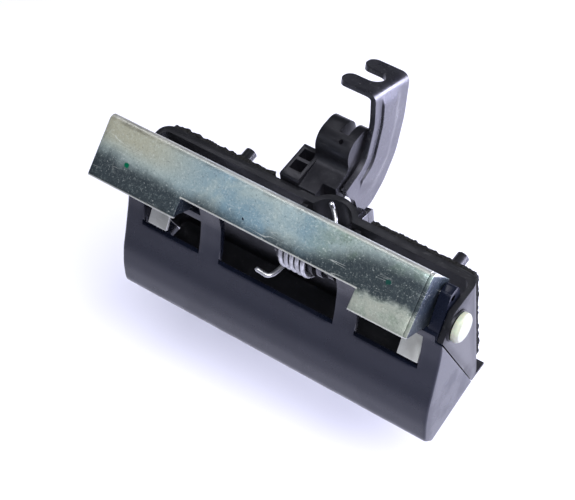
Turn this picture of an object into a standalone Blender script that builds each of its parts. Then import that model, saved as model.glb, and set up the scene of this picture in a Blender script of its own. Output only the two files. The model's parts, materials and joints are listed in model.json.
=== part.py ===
"""Tailgate pull handle: a moulded paddle on two end pins in an open tray housing, a folded steel
balance weight on the paddle, a sprung release lever with a forked end, and a cable clip behind.

Metres, +X along the handle, +Y into the tailgate, +Z up. Outlines in Y and Z are measured from
the pivot axis, and every object has its origin on that axis. The world origin is on the seal's
back face, in the middle of its lower run.
"""

import math

import bmesh
import bpy
from mathutils import Matrix, Vector

# Overall sizes
HALF_WIDTH = 0.088
FIT_GAP = 0.0003
SEAM_GAP = 0.0008
RUN_GAP = 0.00008

# Housing
WALL = 0.0028
BACK_WALL = 0.0040
RIM_TOP = 0.0100
FLOOR_Z = -0.0612
BACK_FACE = 0.0212
CORNER_RADIUS = 0.0065
RIM_FRONT_Y = -0.0015
SEAM_TOP = (-0.0110, -0.0012)
SEAM_LOW_Y = 0.0124
LIP_REACH = 0.0020
LIP_THICK = 0.0014
LOW_BEND = 0.0030
LEDGE_FRONT_Y = 0.0055
LEDGE_THICK = 0.0018
BULGE_X = 0.0115
BULGE_HALF = 0.0115
BULGE_REACH = 0.0060
BULGE_FLOOR = -0.0190
STUB_RADIUS = 0.0031
STUB_REACH = 0.0088
STUB_Z = 0.0050
STUB_PLACES = (-0.0440, 0.0730)
STUB_HOLE = 0.0013
LUG_THICK = 0.0030
LUG_RADIUS = 0.0065
LUG_GAP = 0.0010
LEVER_SLOT = (-0.0360, 0.0062)

# Seal
SEAL_THICK = 0.0030
SEAL_INSET = 0.0030
SEAL_RUN = 0.0160
ORIGIN_Z = -0.0500

# Paddle: outer face from its top edge to its free edge
SKIN = 0.0030
FACE_POINTS = (
    (-0.0106, 0.0140),
    (-0.0102, -0.0096),
    (-0.0148, -0.0170),
    (-0.0209, -0.0295),
    (-0.0245, -0.0374),
    (-0.0271, -0.0470),
    (-0.0284, -0.0596),
    (-0.0234, -0.0659),
)
FACE_BEND = 0.0120
EDGE_BEND = 0.0045
PADDLE_END = 0.0036
SIDE_TOP = 0.0015
WINDOW_LOW = -0.0205
WINDOW_BACK_Y = 0.0040
SIDE_FRAME = 0.0100
SIDE_WINDOW = (0.0440, HALF_WIDTH - SIDE_FRAME)
SIDE_WINDOW_HIGH = -0.0025
MID_WINDOW = 0.0325
MID_WINDOW_HIGH = 0.0102
EAR_THICK = 0.0058
EAR_RADIUS = 0.0080
EAR_TOP = (0.0085, 0.0170)
EAR_TOP_WIDTH = 0.0065
EAR_SHOULDER = (-0.0045, 0.0078)
EAR_FOOT_Z = -0.0300
EAR_FOOT_Y = (-0.0200, -0.0130)
EAR_ROOT_Z = (-0.0100, 0.0008)
TONGUE_THICK = 0.0028

# End pins
PIN_RADIUS = 0.0040
PIN_HEAD = 0.0073
PIN_FACE = 0.0061
PIN_HEAD_THICK = 0.0034
PIN_SHOULDER = 0.0021
BOSS_RADIUS = 0.0080
BOSS_PROUD = 0.0010

# Balance weight, folded from plate
PLATE = 0.0020
WEIGHT_INSET = 0.0095
WEIGHT_OVERHANG = 0.0104
WEIGHT_LEFT = -(HALF_WIDTH + WEIGHT_OVERHANG)
WEIGHT_RIGHT = HALF_WIDTH - WEIGHT_INSET
WEIGHT_FRONT = (-0.0248, 0.0122)
WEIGHT_CREST = (-0.0005, 0.0325)
WEIGHT_BACK = (0.0106, 0.0146)
WEIGHT_HEEL = (-0.0059, 0.0011)
CREST_BEND = 0.0032
NOTCH_HALF = 0.0478
NOTCH_DEPTH = 0.0099
LEFT_WEB = 0.0110
LEG_WIDTH = 0.0108
LEG_INSETS = (0.0038, 0.0010)
LEG_TIP = (-0.0147, -0.0190)
RIVET_RADIUS = 0.0015
RIVET_HEAD = 0.0026
RIVET_HEAD_THICK = 0.0010
RIVET_PLACE = (0.0035, 0.0136)

# Centre shaft, its two clips, and the return spring on its sleeve
SHAFT_RADIUS = 0.0030
GROOVE_DEPTH = 0.0006
CLIP_THICK = 0.0008
CLIP_RADIUS = 0.0055
SHAFT_TAIL = 0.0010
WIRE_RADIUS = 0.0012
COIL_RADIUS = 0.0108
COIL_START = 0.0012
COIL_TURNS = 5
COIL_PITCH = 0.0030
COIL_STEPS = 18
COIL_ENTERS = 262
COIL_LEAVES = 350
LOWER_LEG = ((0.0004, -0.0130, -0.0101), (-0.0006, -0.0154, -0.0097), (-0.0028, -0.0164, -0.0095),
             (-0.0086, -0.0164, -0.0095))
UPPER_LEG = ((0.0163, 0.0128, 0.0020), (0.0140, 0.0166, 0.0046), (0.0115, 0.0192, 0.0076),
             (0.0092, 0.0202, 0.0128))

# Release lever, stamped from plate and joggled sideways behind the housing
LEVER_PLATE = 0.0028
HUB_SIDE = 0.0220
ARM_SIDE = 0.0100
HUB_RADIUS = 0.0085
HEEL_TOP = 0.0135
HEEL_HALF = 0.0028
JOGGLE_Y = 0.0340
ROOT_OUTLINE = ((0.0, -0.0084), (0.0366, -0.0148), (0.0366, 0.0010), (0.0, 0.0084))
ARM_FRONT = (
    (0.0564, 0.0302, 0.030),
    (0.0470, 0.0120, 0.016),
    (0.0340, 0.0080, 0.001),
)
ARM_BACK = (
    (0.0340, -0.0150, 0.001),
    (0.0480, -0.0185, 0.012),
    (0.0600, -0.0130, 0.020),
    (0.0712, -0.0030, 0.030),
    (0.0800, 0.0140, 0.040),
)
FORK_NEAR = (0.0591, 0.0483)
FORK_FAR = (0.0866, 0.0366)
FORK_LENGTH = 0.0205
FORK_BEND = 0.0045
FORK_TIP = 0.0040
FORK_SLOT = 0.0055
FORK_SLOT_END = 0.0050
RIB_RADIUS = 0.0042
RIB_PROUD = 0.0011
RIB_PATH = ((0.0420, -0.0060), (0.0540, -0.0020), (0.0620, 0.0060), (0.0678, 0.0180), (0.0716, 0.0310),
            (0.0726, 0.0372))
BUSH_WALL = 0.0020
BUSH_FLANGE = 0.0012

# Cable clip
CLIP_RIGHT = 0.0063
CLIP_NOSE_LEFT = -0.0120
CLIP_LEFT = -0.0205
CLIP_SLOT = 0.0048
CLIP_SLOT_X = -0.0007
CLIP_SLOT_BACK = 0.0470
CLIP_BASE = 0.0050
CLIP_GAP = 0.0008
CLIP_HOLE = 0.0011
CLIP_HOLE_PLACE = (0.0002, 0.0430)
NOSE_CENTRE = (0.0485, 0.0170)
NOSE_RADIUS = 0.0108
BLOCK_REACH = 0.0430
BLOCK_TOP = 0.0140
BLOCK_LOW = -0.0060
POCKET_WALL = 0.0018

# Motion
PIVOT = Vector((0.0, -(BACK_FACE + SEAL_THICK), -ORIGIN_Z))
ROUND_STEPS = 40

ALONG_X = Matrix(((0, 0, 1), (1, 0, 0), (0, 1, 0))).to_4x4()
ALONG_Y = Matrix(((1, 0, 0), (0, 0, -1), (0, 1, 0))).to_4x4()
ALONG_Z = Matrix.Identity(4)


def clear_scene():
    for found in list(bpy.data.objects):
        bpy.data.objects.remove(found, do_unlink=True)


def collection(name):
    made = bpy.data.collections.new(name)
    bpy.context.scene.collection.children.link(made)
    return made


def material(name, colour, roughness, metallic=0.0):
    made = bpy.data.materials.new(name)
    made.use_nodes = True
    shader = made.node_tree.nodes["Principled BSDF"]
    shader.inputs["Base Color"].default_value = (*colour, 1.0)
    shader.inputs["Roughness"].default_value = roughness
    shader.inputs["Metallic"].default_value = metallic
    return made


def rounded(corners, steps=6):
    """Closed outline with each corner (a, b, radius) turned into an arc that meets both its sides."""
    outline = []
    count = len(corners)
    for index, (a, b, radius) in enumerate(corners):
        here = Vector((a, b))
        before = (Vector(corners[index - 1][:2]) - here).normalized()
        after = (Vector(corners[(index + 1) % count][:2]) - here).normalized()
        outline += corner_arc(here, before, after, radius, steps)
    return outline


def rounded_path(points, radii, steps=6):
    """Open path through the points, with an arc of the given radius at each inner one."""
    path = [Vector(points[0])]
    for index in range(1, len(points) - 1):
        here = Vector(points[index])
        before = (Vector(points[index - 1]) - here).normalized()
        after = (Vector(points[index + 1]) - here).normalized()
        path += corner_arc(here, before, after, radii[index - 1], steps)
    path.append(Vector(points[-1]))
    return path


def corner_arc(here, before, after, radius, steps):
    """Points of the arc that touches both sides of a corner; the corner itself where it is sharp."""
    bend = math.pi - before.angle(after)
    if radius <= 0 or bend < math.radians(2):
        return [here]
    reach = radius * math.tan(bend / 2)
    middle = here + (before + after).normalized() * math.hypot(radius, reach)
    start = here + before * reach - middle
    end = here + after * reach - middle
    turn = math.atan2(start.x * end.y - start.y * end.x, start.dot(end))
    arc = []
    for step in range(steps + 1):
        angle = turn * step / steps
        cos, sin = math.cos(angle), math.sin(angle)
        arc.append(middle + Vector((start.x * cos - start.y * sin, start.x * sin + start.y * cos)))
    return arc


def strip(path, thickness):
    """Closed outline of a sheet whose one face is the path; the other lies to the path's left."""
    inner = []
    for index, point in enumerate(path):
        into = point - path[index - 1] if index else path[1] - point
        out = path[index + 1] - point if index + 1 < len(path) else into
        normal = Vector((-into.y, into.x)).normalized() + Vector((-out.y, out.x)).normalized()
        normal.normalize()
        lean = normal.dot(Vector((-into.y, into.x)).normalized())
        inner.append(point + normal * thickness / lean)
    return list(path) + inner[::-1]


def move_all(mesh, matrix):
    mesh.transform(matrix)
    mesh.update()


def add(name, mesh, home, finish=None):
    made = bpy.data.objects.new(name, mesh)
    made.location = PIVOT
    home.objects.link(made)
    if finish:
        mesh.materials.append(finish)
    return made


def prism(name, outline, low, high, turn, home, finish=None):
    """Flat outline carried from low to high along the axis that the turn points local Z at."""
    curve = bpy.data.curves.new(name, "CURVE")
    curve.dimensions = "2D"
    curve.fill_mode = "BOTH"
    curve.extrude = (high - low) / 2
    spline = curve.splines.new("POLY")
    spline.points.add(len(outline) - 1)
    for point, place in zip(spline.points, outline):
        point.co = (place[0], place[1], 0, 1)
    spline.use_cyclic_u = True
    mesh = meshed(name, curve)
    middle = (high + low) / 2
    shift = middle if turn is not ALONG_Y else -middle
    move_all(mesh, turn @ Matrix.Translation((0, 0, shift)))
    return add(name, mesh, home, finish)


def meshed(name, curve):
    """Mesh of a curve, with its loose caps welded on and its faces turned out."""
    guide = bpy.data.objects.new(name, curve)
    bpy.context.scene.collection.objects.link(guide)
    graph = bpy.context.evaluated_depsgraph_get()
    graph.update()
    mesh = bpy.data.meshes.new_from_object(guide.evaluated_get(graph))
    bpy.data.objects.remove(guide, do_unlink=True)
    shape = bmesh.new()
    shape.from_mesh(mesh)
    bmesh.ops.remove_doubles(shape, verts=shape.verts, dist=1e-6)
    bmesh.ops.recalc_face_normals(shape, faces=shape.faces)
    shape.to_mesh(mesh)
    shape.free()
    mesh.name = name
    return mesh


def box(name, low, high, home, finish=None):
    mesh = bpy.data.meshes.new(name)
    shape = bmesh.new()
    bmesh.ops.create_cube(shape, size=1.0)
    shape.to_mesh(mesh)
    shape.free()
    low, high = Vector(low), Vector(high)
    scale = Matrix.Diagonal((*(high - low), 1.0))
    move_all(mesh, Matrix.Translation((low + high) / 2) @ scale)
    return add(name, mesh, home, finish)


def rod(name, radius, low, high, turn, centre, home, finish=None, steps=ROUND_STEPS):
    """Round bar from low to high along the turned axis; centre is its place across that axis."""
    mesh = bpy.data.meshes.new(name)
    shape = bmesh.new()
    bmesh.ops.create_cone(
        shape, cap_ends=True, segments=steps, radius1=radius, radius2=radius, depth=high - low
    )
    shape.to_mesh(mesh)
    shape.free()
    middle = (high + low) / 2
    shift = middle if turn is not ALONG_Y else -middle
    move_all(mesh, turn @ Matrix.Translation((centre[0], centre[1], shift)))
    return add(name, mesh, home, finish)


def turned(name, profile, home, finish):
    """Profile of (radius, x) points, listed from the end with the highest x, spun round the X axis."""
    mesh = bpy.data.meshes.new(name)
    points = [(radius, 0, along) for radius, along in profile]
    mesh.from_pydata(points, [(i, i + 1) for i in range(len(points) - 1)], [])
    made = add(name, mesh, home, finish)
    made.rotation_euler = (0, math.pi / 2, 0)
    screw = made.modifiers.new("Spin", "SCREW")
    screw.steps = ROUND_STEPS
    screw.render_steps = ROUND_STEPS
    screw.use_merge_vertices = True
    screw.merge_threshold = 0.00001
    screw.use_smooth_shade = False
    return made


def tool(made):
    """Sets an object aside as a helper that another one's Boolean uses."""
    made.hide_render = True
    made.display_type = "WIRE"
    return made


def join(target, other):
    union = target.modifiers.new("Join " + other.name, "BOOLEAN")
    union.operation = "UNION"
    union.object = tool(other)


def cut(target, other):
    difference = target.modifiers.new("Cut " + other.name, "BOOLEAN")
    difference.operation = "DIFFERENCE"
    difference.object = tool(other)


def keep(target, other):
    common = target.modifiers.new("Keep " + other.name, "BOOLEAN")
    common.operation = "INTERSECT"
    common.object = tool(other)


def seam_low():
    return (SEAM_LOW_Y, FLOOR_Z)


def seam_normal():
    """Unit vector across the slanted joint between the end walls, pointing out of the tailgate."""
    along = Vector(seam_low()) - Vector(SEAM_TOP)
    return Vector((along.y, -along.x)).normalized()


def bulge_radius():
    return (BULGE_HALF ** 2 + BULGE_REACH ** 2) / (2 * BULGE_REACH)


def build_housing(home, tools, finish):
    inside = HALF_WIDTH - WALL
    front = SEAM_TOP[0] - WALL
    outer = tray_path(HALF_WIDTH, BACK_FACE, front, CORNER_RADIUS)
    inner = tray_path(inside, BACK_FACE - BACK_WALL, front, CORNER_RADIUS - WALL)
    housing = prism("housing", outer + inner[::-1], FLOOR_Z, RIM_TOP, ALONG_Z, home, finish)
    far = BACK_FACE + BULGE_REACH + WALL
    low_back = (BACK_FACE + FIT_GAP, FLOOR_Z - FIT_GAP, LOW_BEND)
    side = rounded((
        (RIM_FRONT_Y, RIM_TOP + WALL, 0),
        (far, RIM_TOP + WALL, 0),
        (far, BULGE_FLOOR - WALL, 0),
        (low_back[0], BULGE_FLOOR - 2 * WALL, 0),
        low_back,
        (SEAM_LOW_Y, FLOOR_Z, 0),
        (*SEAM_TOP, 0),
        (RIM_FRONT_Y, RIM_TOP, 0),
    ))
    keep(housing, prism("side_form", side, -HALF_WIDTH - WALL, HALF_WIDTH + WALL, ALONG_X, tools))
    radius = bulge_radius()
    centre = (BULGE_X, BACK_FACE + BULGE_REACH - radius)
    join(housing, rod("bulge_form", radius, BULGE_FLOOR, RIM_TOP, ALONG_Z, centre, tools, steps=64))
    cut(housing, rod("bulge_space", radius - WALL, BULGE_FLOOR + WALL, RIM_TOP + WALL, ALONG_Z, centre,
                     tools, steps=64))
    cut(housing, box("bulge_front", (-inside + WALL, front, BULGE_FLOOR - WALL),
                     (inside - WALL, BACK_FACE - BACK_WALL, RIM_TOP + WALL), tools))
    join(housing, box("lip_form", (-HALF_WIDTH, SEAM_LOW_Y, FLOOR_Z),
                      (HALF_WIDTH, BACK_FACE + LIP_REACH, FLOOR_Z + LIP_THICK), tools))
    ledge = HALF_WIDTH - PADDLE_END - SEAM_GAP
    join(housing, box("ledge_form", (-ledge, LEDGE_FRONT_Y, FLOOR_Z + FIT_GAP),
                      (ledge, BACK_FACE - BACK_WALL / 2, FLOOR_Z + FIT_GAP + LEDGE_THICK), tools))
    for name, low, high in lug_spans():
        lug = rounded(((BACK_FACE - WALL / 2, LUG_RADIUS, 0), (-LUG_RADIUS, LUG_RADIUS, LUG_RADIUS * 0.98),
                       (-LUG_RADIUS, -LUG_RADIUS, LUG_RADIUS * 0.98), (BACK_FACE - WALL / 2, -2 * LUG_RADIUS, 0)))
        join(housing, prism(name, lug, low, high, ALONG_X, tools))
    cut(housing, rod("shaft_hole", SHAFT_RADIUS + RUN_GAP, lug_spans()[0][1] - WALL,
                     lug_spans()[1][2] + WALL, ALONG_X, (0, 0), tools))
    slot_low = HUB_SIDE - LEVER_PLATE - LUG_GAP / 2
    cut(housing, box("lever_slot", (slot_low, BACK_FACE - 3 * WALL, LEVER_SLOT[0]),
                     (HUB_SIDE + LUG_GAP / 2, far, LEVER_SLOT[1]), tools))
    for number, place in enumerate(STUB_PLACES):
        join(housing, rod(f"stub_{number}", STUB_RADIUS, BACK_FACE - WALL / 2, BACK_FACE + STUB_REACH, ALONG_Y,
                          (place, STUB_Z), tools, steps=24))
        cut(housing, rod(f"stub_hole_{number}", STUB_HOLE, BACK_FACE + WALL, BACK_FACE + STUB_REACH + WALL,
                         ALONG_Y, (place, STUB_Z), tools, steps=16))
    for side_name, sign in (("left", -1), ("right", 1)):
        ends = sorted((sign * (HALF_WIDTH - WALL / 2), sign * (HALF_WIDTH + BOSS_PROUD)))
        join(housing, rod(f"boss_{side_name}", BOSS_RADIUS, *ends, ALONG_X, (0, 0), tools))
        ends = sorted((sign * (inside - WALL), sign * (HALF_WIDTH + 2 * WALL)))
        cut(housing, rod(f"pin_hole_{side_name}", PIN_RADIUS + RUN_GAP, *ends, ALONG_X, (0, 0), tools))
    return housing


def tray_path(half, back, front, radius):
    """Plan line round the tray from the right end, along the back and down the left end."""
    return rounded_path(((half, front), (half, back), (-half, back), (-half, front)), (radius, radius))


def lug_spans():
    """The two lugs of the centre shaft: left of the spring's sleeve, and right of the lever's hub."""
    left_high = COIL_START - 2 * WIRE_RADIUS - LUG_GAP
    right_low = HUB_SIDE + BUSH_FLANGE + LUG_GAP
    return (("lug_left", left_high - LUG_THICK, left_high), ("lug_right", right_low, right_low + LUG_THICK))


def build_seal(home, tools, finish):
    """Soft sheet between the housing's back face and the panel, open where parts pass through."""
    half = HALF_WIDTH - SEAL_INSET
    low = FLOOR_Z + LIP_THICK + SEAL_INSET
    high = RIM_TOP - 0.001
    outline = rounded(((-half, low, 0.004), (half, low, 0.004), (half, high, 0.004), (-half, high, 0.004)))
    near, far = BACK_FACE + FIT_GAP, BACK_FACE + SEAL_THICK
    seal = prism("seal", outline, near, far, ALONG_Y, home, finish)
    space_low = low + SEAL_RUN
    cut(seal, box("seal_space", (CLIP_LEFT - 0.004, 0, space_low),
                  (BULGE_X + BULGE_HALF + 0.006, 2 * far, RIM_TOP + WALL), tools))
    for number, place in enumerate(STUB_PLACES):
        cut(seal, rod(f"seal_hole_{number}", STUB_RADIUS + FIT_GAP, 0, 2 * far, ALONG_Y, (place, STUB_Z), tools,
                      steps=24))
    return seal


def face_path():
    bends = [FACE_BEND] * (len(FACE_POINTS) - 3) + [EDGE_BEND]
    return rounded_path(FACE_POINTS, bends, steps=4)


def build_paddle(home, tools, finish):
    inside = HALF_WIDTH - WALL - FIT_GAP
    path = face_path()
    paddle = prism("paddle", strip(path, SKIN), -HALF_WIDTH, HALF_WIDTH, ALONG_X, home, finish)
    core = strip(path, SKIN / 2)[len(path):][::-1]
    away = seam_normal() * SEAM_GAP
    low = Vector(seam_low()) + away
    high = Vector(SEAM_TOP) + away
    rise = (high - low) / 2
    back = Vector((HALF_WIDTH, 0))
    behind = [low - rise, low - rise + back, high + rise + back, high + rise]
    top = Vector(EAR_TOP)
    for name, sign in (("left", -1), ("right", 1)):
        ends = sorted((sign * (HALF_WIDTH - PADDLE_END), sign * HALF_WIDTH))
        join(paddle, prism(f"end_{name}", core + [low + back / 20], *ends, ALONG_X, tools))
        ends = sorted((sign * (HALF_WIDTH - PADDLE_END - FIT_GAP), sign * (HALF_WIDTH + WALL)))
        cut(paddle, prism(f"seam_{name}", behind, *ends, ALONG_X, tools))
        span = sorted((sign * SIDE_WINDOW[0], sign * (HALF_WIDTH + WALL)))
        cut(paddle, box(f"top_{name}", (span[0], path[0].x - SKIN, SIDE_TOP),
                        (span[1], path[0].x + 2 * SKIN, 2 * path[0].y), tools))
        ear = rounded((
            (core[0].x, EAR_ROOT_Z[1], 0),
            (*EAR_SHOULDER, EAR_RADIUS / 2),
            (top.x - EAR_TOP_WIDTH, top.y, EAR_RADIUS / 4),
            (*top, EAR_RADIUS / 3),
            (1.2 * EAR_RADIUS, 0.0, 0.8 * EAR_RADIUS),
            (0.0, -1.25 * EAR_RADIUS, EAR_RADIUS / 2),
            (EAR_FOOT_Y[1], EAR_FOOT_Z, EAR_RADIUS / 3),
            (EAR_FOOT_Y[0], EAR_FOOT_Z, 0),
            (core[0].x, EAR_ROOT_Z[0], 0),
        ))
        ends = sorted((sign * (inside - EAR_THICK), sign * (inside - FIT_GAP)))
        join(paddle, prism(f"ear_{name}", ear, *ends, ALONG_X, tools))
        span = sorted((sign * SIDE_WINDOW[0], sign * SIDE_WINDOW[1]))
        cut(paddle, window(f"window_{name}", *span, SIDE_WINDOW_HIGH, tools))
        ends = sorted((sign * (inside - EAR_THICK - WALL), sign * (HALF_WIDTH + WALL)))
        cut(paddle, rod(f"ear_hole_{name}", PIN_RADIUS + RUN_GAP, *ends, ALONG_X, (0, 0), tools))
        cut(paddle, rod(f"rivet_hole_{name}", RIVET_RADIUS + RUN_GAP, *ends, ALONG_X, RIVET_PLACE, tools,
                        steps=16))
    cut(paddle, window("window_mid", -MID_WINDOW, MID_WINDOW, MID_WINDOW_HIGH, tools))
    join(paddle, box("tongue", (HUB_SIDE - TONGUE_THICK, core[0].x, MID_WINDOW_HIGH + FIT_GAP),
                     (HUB_SIDE, -HEEL_HALF - SEAM_GAP, HEEL_TOP), tools))
    return paddle


def window(name, low, high, top, tools):
    """Cutter for an opening in the paddle's face, with its lower edge square to the face."""
    face = Vector(FACE_POINTS[3]) - Vector(FACE_POINTS[2])
    inward = Vector((-face.y, face.x)).normalized()
    edge = Vector((FACE_POINTS[2][0] + face.x * (WINDOW_LOW - FACE_POINTS[2][1]) / face.y, WINDOW_LOW))
    outline = (edge - inward * SKIN, edge + inward * 2 * SKIN, (WINDOW_BACK_Y, top),
               (FACE_POINTS[0][0] - 2 * SKIN, top))
    return prism(name, outline, low, high, ALONG_X, tools)


def build_end_pin(name, sign, home, finish):
    inner = HALF_WIDTH - WALL - FIT_GAP - EAR_THICK + FIT_GAP
    seat = HALF_WIDTH + BOSS_PROUD + FIT_GAP
    outer = seat + PIN_HEAD_THICK
    profile = ((0, outer), (PIN_FACE, outer), (PIN_HEAD, seat + PIN_SHOULDER), (PIN_HEAD, seat),
               (PIN_RADIUS, seat), (PIN_RADIUS, inner), (0, inner))
    pin = turned(name, profile, home, finish)
    if sign < 0:
        pin.rotation_euler = (0, -math.pi / 2, 0)
    return pin


def weight_slope():
    return (Vector(WEIGHT_CREST) - Vector(WEIGHT_FRONT)).normalized()


def build_weight(home, tools, finish):
    path = rounded_path((WEIGHT_BACK, WEIGHT_CREST, WEIGHT_FRONT), (CREST_BEND,))
    weight = prism("balance_weight", strip(path, PLATE), WEIGHT_LEFT, WEIGHT_RIGHT, ALONG_X, home, finish)
    slope = weight_slope()
    under = Vector((slope.y, -slope.x))
    crest, front = Vector(WEIGHT_CREST), Vector(WEIGHT_FRONT)
    heel, back, tip = Vector(WEIGHT_HEEL), Vector(WEIGHT_BACK), Vector(LEG_TIP)
    rise = (crest - back).normalized()
    depth = PLATE + CREST_BEND
    below = [crest + slope * 0.02 + under * depth, front + under * depth, front + under * 0.05,
             crest + under * 0.05 + slope * 0.02]
    cut(weight, prism("flange_end", below, WEIGHT_LEFT - PLATE, -WEIGHT_RIGHT, ALONG_X, tools))
    inner = front + slope * NOTCH_DEPTH
    outer = front - slope * PLATE
    notch = [inner - under * PLATE, outer - under * PLATE, outer + under * 2 * PLATE, inner + under * 2 * PLATE]
    cut(weight, prism("front_notch", notch, -NOTCH_HALF, NOTCH_HALF, ALONG_X, tools))
    in_front = front + (slope + under) * PLATE / 2
    in_back = back + (under + rise) * PLATE / 2 - slope * PLATE / 2
    in_crest = crest + under * PLATE / 2 - slope * CREST_BEND / 2
    join(weight, prism("flange_right", [in_front, in_crest, in_back, heel], WEIGHT_RIGHT - PLATE,
                       WEIGHT_RIGHT - FIT_GAP, ALONG_X, tools))
    web = [in_crest - slope * LEFT_WEB, in_crest, in_back, in_back - slope * LEFT_WEB]
    join(weight, prism("flange_left", web, FIT_GAP - WEIGHT_RIGHT, PLATE - WEIGHT_RIGHT, ALONG_X, tools))
    gusset = [in_front, in_front + slope * (NOTCH_DEPTH + PLATE), heel]
    for name, low in (("left", -NOTCH_HALF - FIT_GAP - PLATE), ("right", NOTCH_HALF + FIT_GAP)):
        join(weight, prism(f"gusset_{name}", gusset, low, low + PLATE, ALONG_X, tools))
    along = (back - tip).normalized()
    leg = strip([tip, back - along * PLATE / 6], PLATE)
    for name, sign, inset in (("left", -1, LEG_INSETS[0]), ("right", 1, LEG_INSETS[1])):
        outer = WEIGHT_RIGHT - inset
        span = sorted((sign * (outer - LEG_WIDTH), sign * outer))
        join(weight, prism(f"leg_{name}", leg, *span, ALONG_X, tools))
        ends = sorted((sign * (WEIGHT_RIGHT - 3 * PLATE), sign * (WEIGHT_RIGHT + PLATE)))
        cut(weight, rod(f"weight_hole_{name}", RIVET_RADIUS + RUN_GAP, *ends, ALONG_X, RIVET_PLACE, tools,
                        steps=16))
    return weight


def build_rivet(name, sign, home, finish):
    """Headed pin through the weight's end flange and the paddle's ear."""
    ear_out = HALF_WIDTH - WALL - 2 * FIT_GAP
    head = WEIGHT_RIGHT - PLATE - FIT_GAP
    profile = ((0, ear_out), (RIVET_RADIUS, ear_out), (RIVET_RADIUS, head), (RIVET_HEAD, head),
               (RIVET_HEAD - RIVET_HEAD_THICK / 2, head - RIVET_HEAD_THICK), (0, head - RIVET_HEAD_THICK))
    rivet = turned(name, profile, home, finish)
    rivet.rotation_euler = (0, sign * math.pi / 2, 0)
    rivet.location = PIVOT + Vector((0, *RIVET_PLACE))
    return rivet


def shaft_ends():
    spans = lug_spans()
    return spans[0][1] - FIT_GAP, spans[1][2] + FIT_GAP


def build_shaft(home, finish):
    low, high = shaft_ends()
    groove = SHAFT_RADIUS - GROOVE_DEPTH
    width = CLIP_THICK + FIT_GAP
    top = high + width + SHAFT_TAIL
    bottom = low - width - SHAFT_TAIL
    profile = (
        (0, top), (SHAFT_RADIUS, top), (SHAFT_RADIUS, high + width), (groove, high + width), (groove, high),
        (SHAFT_RADIUS, high), (SHAFT_RADIUS, low), (groove, low), (groove, low - width),
        (SHAFT_RADIUS, low - width), (SHAFT_RADIUS, bottom), (0, bottom),
    )
    return turned("centre_shaft", profile, home, finish)


def build_shaft_clip(name, low, home, tools, finish):
    """Flat open ring that snaps into the shaft's groove."""
    clip = rod(name, CLIP_RADIUS, low, low + CLIP_THICK, ALONG_X, (0, 0), home, finish, steps=32)
    bore = SHAFT_RADIUS - GROOVE_DEPTH + RUN_GAP
    cut(clip, rod(name + "_bore", bore, low - CLIP_THICK, low + 2 * CLIP_THICK, ALONG_X, (0, 0), tools, steps=24))
    cut(clip, box(name + "_mouth", (low - CLIP_THICK, -bore, -2 * CLIP_RADIUS), (low + 2 * CLIP_THICK, bore, 0),
                  tools))
    return clip


def sleeve_span():
    return lug_spans()[0][2] + FIT_GAP, HUB_SIDE - LEVER_PLATE - BUSH_FLANGE - FIT_GAP


def build_sleeve(home, finish):
    """Spool between the left lug and the lever, which carries the coils."""
    low, high = sleeve_span()
    bore = SHAFT_RADIUS + RUN_GAP
    outer = COIL_RADIUS - WIRE_RADIUS - FIT_GAP
    profile = ((bore, high), (outer, high), (outer, low), (bore, low), (bore, high))
    return turned("spring_sleeve", profile, home, finish)


def spring_points():
    """Coil whose ends run off in two legs: one forward through the window, one up behind the rim."""
    points = [Vector(place) for place in reversed(LOWER_LEG)]
    sweep = 360 * COIL_TURNS + COIL_LEAVES - COIL_ENTERS
    count = sweep * COIL_STEPS // 360
    for step in range(count + 1):
        turned_by = sweep * step / count
        angle = math.radians(COIL_ENTERS + turned_by)
        along = COIL_START + COIL_PITCH * turned_by / 360
        points.append(Vector((along, COIL_RADIUS * math.cos(angle), COIL_RADIUS * math.sin(angle))))
    return points + [Vector(place) for place in UPPER_LEG]


def build_spring(home, finish):
    curve = bpy.data.curves.new("return_spring", "CURVE")
    curve.dimensions = "3D"
    curve.bevel_depth = WIRE_RADIUS
    curve.bevel_resolution = 2
    curve.use_fill_caps = True
    points = spring_points()
    spline = curve.splines.new("POLY")
    spline.points.add(len(points) - 1)
    for point, place in zip(spline.points, points):
        point.co = (*place, 1)
    return add("return_spring", meshed("return_spring", curve), home, finish)


def fork_turn(across, along, up):
    """Turn of an outline onto the fork, with its origin on the near end of the fork's fold."""
    turn = Matrix((across, along, up)).transposed().to_4x4()
    turn.translation = (0, *FORK_NEAR)
    return turn


def build_fork(tools):
    """The fork's sheet, drawn in its own plane: two round-tipped tines with a round-ended slot."""
    line = Vector(FORK_FAR) - Vector(FORK_NEAR)
    width = line.length
    along = line.normalized()
    tip = ARM_SIDE - FORK_LENGTH
    root = ARM_SIDE - LEVER_PLATE / 3
    slot_low = width / 2 - FORK_SLOT
    slot_high = width / 2 + FORK_SLOT
    outline = rounded((
        (root, 0, 0),
        (root, width, 0),
        (tip, width, FORK_TIP),
        (tip, slot_high, FORK_TIP),
        (FORK_SLOT_END, slot_high, FORK_SLOT * 0.98),
        (FORK_SLOT_END, slot_low, FORK_SLOT * 0.98),
        (tip, slot_low, FORK_TIP),
        (tip, 0, FORK_TIP),
    ), steps=10)
    turn = fork_turn((1, 0, 0), (0, along.x, along.y), (0, -along.y, along.x))
    return prism("fork_sheet", outline, -LEVER_PLATE, 0, turn, tools)


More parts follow.
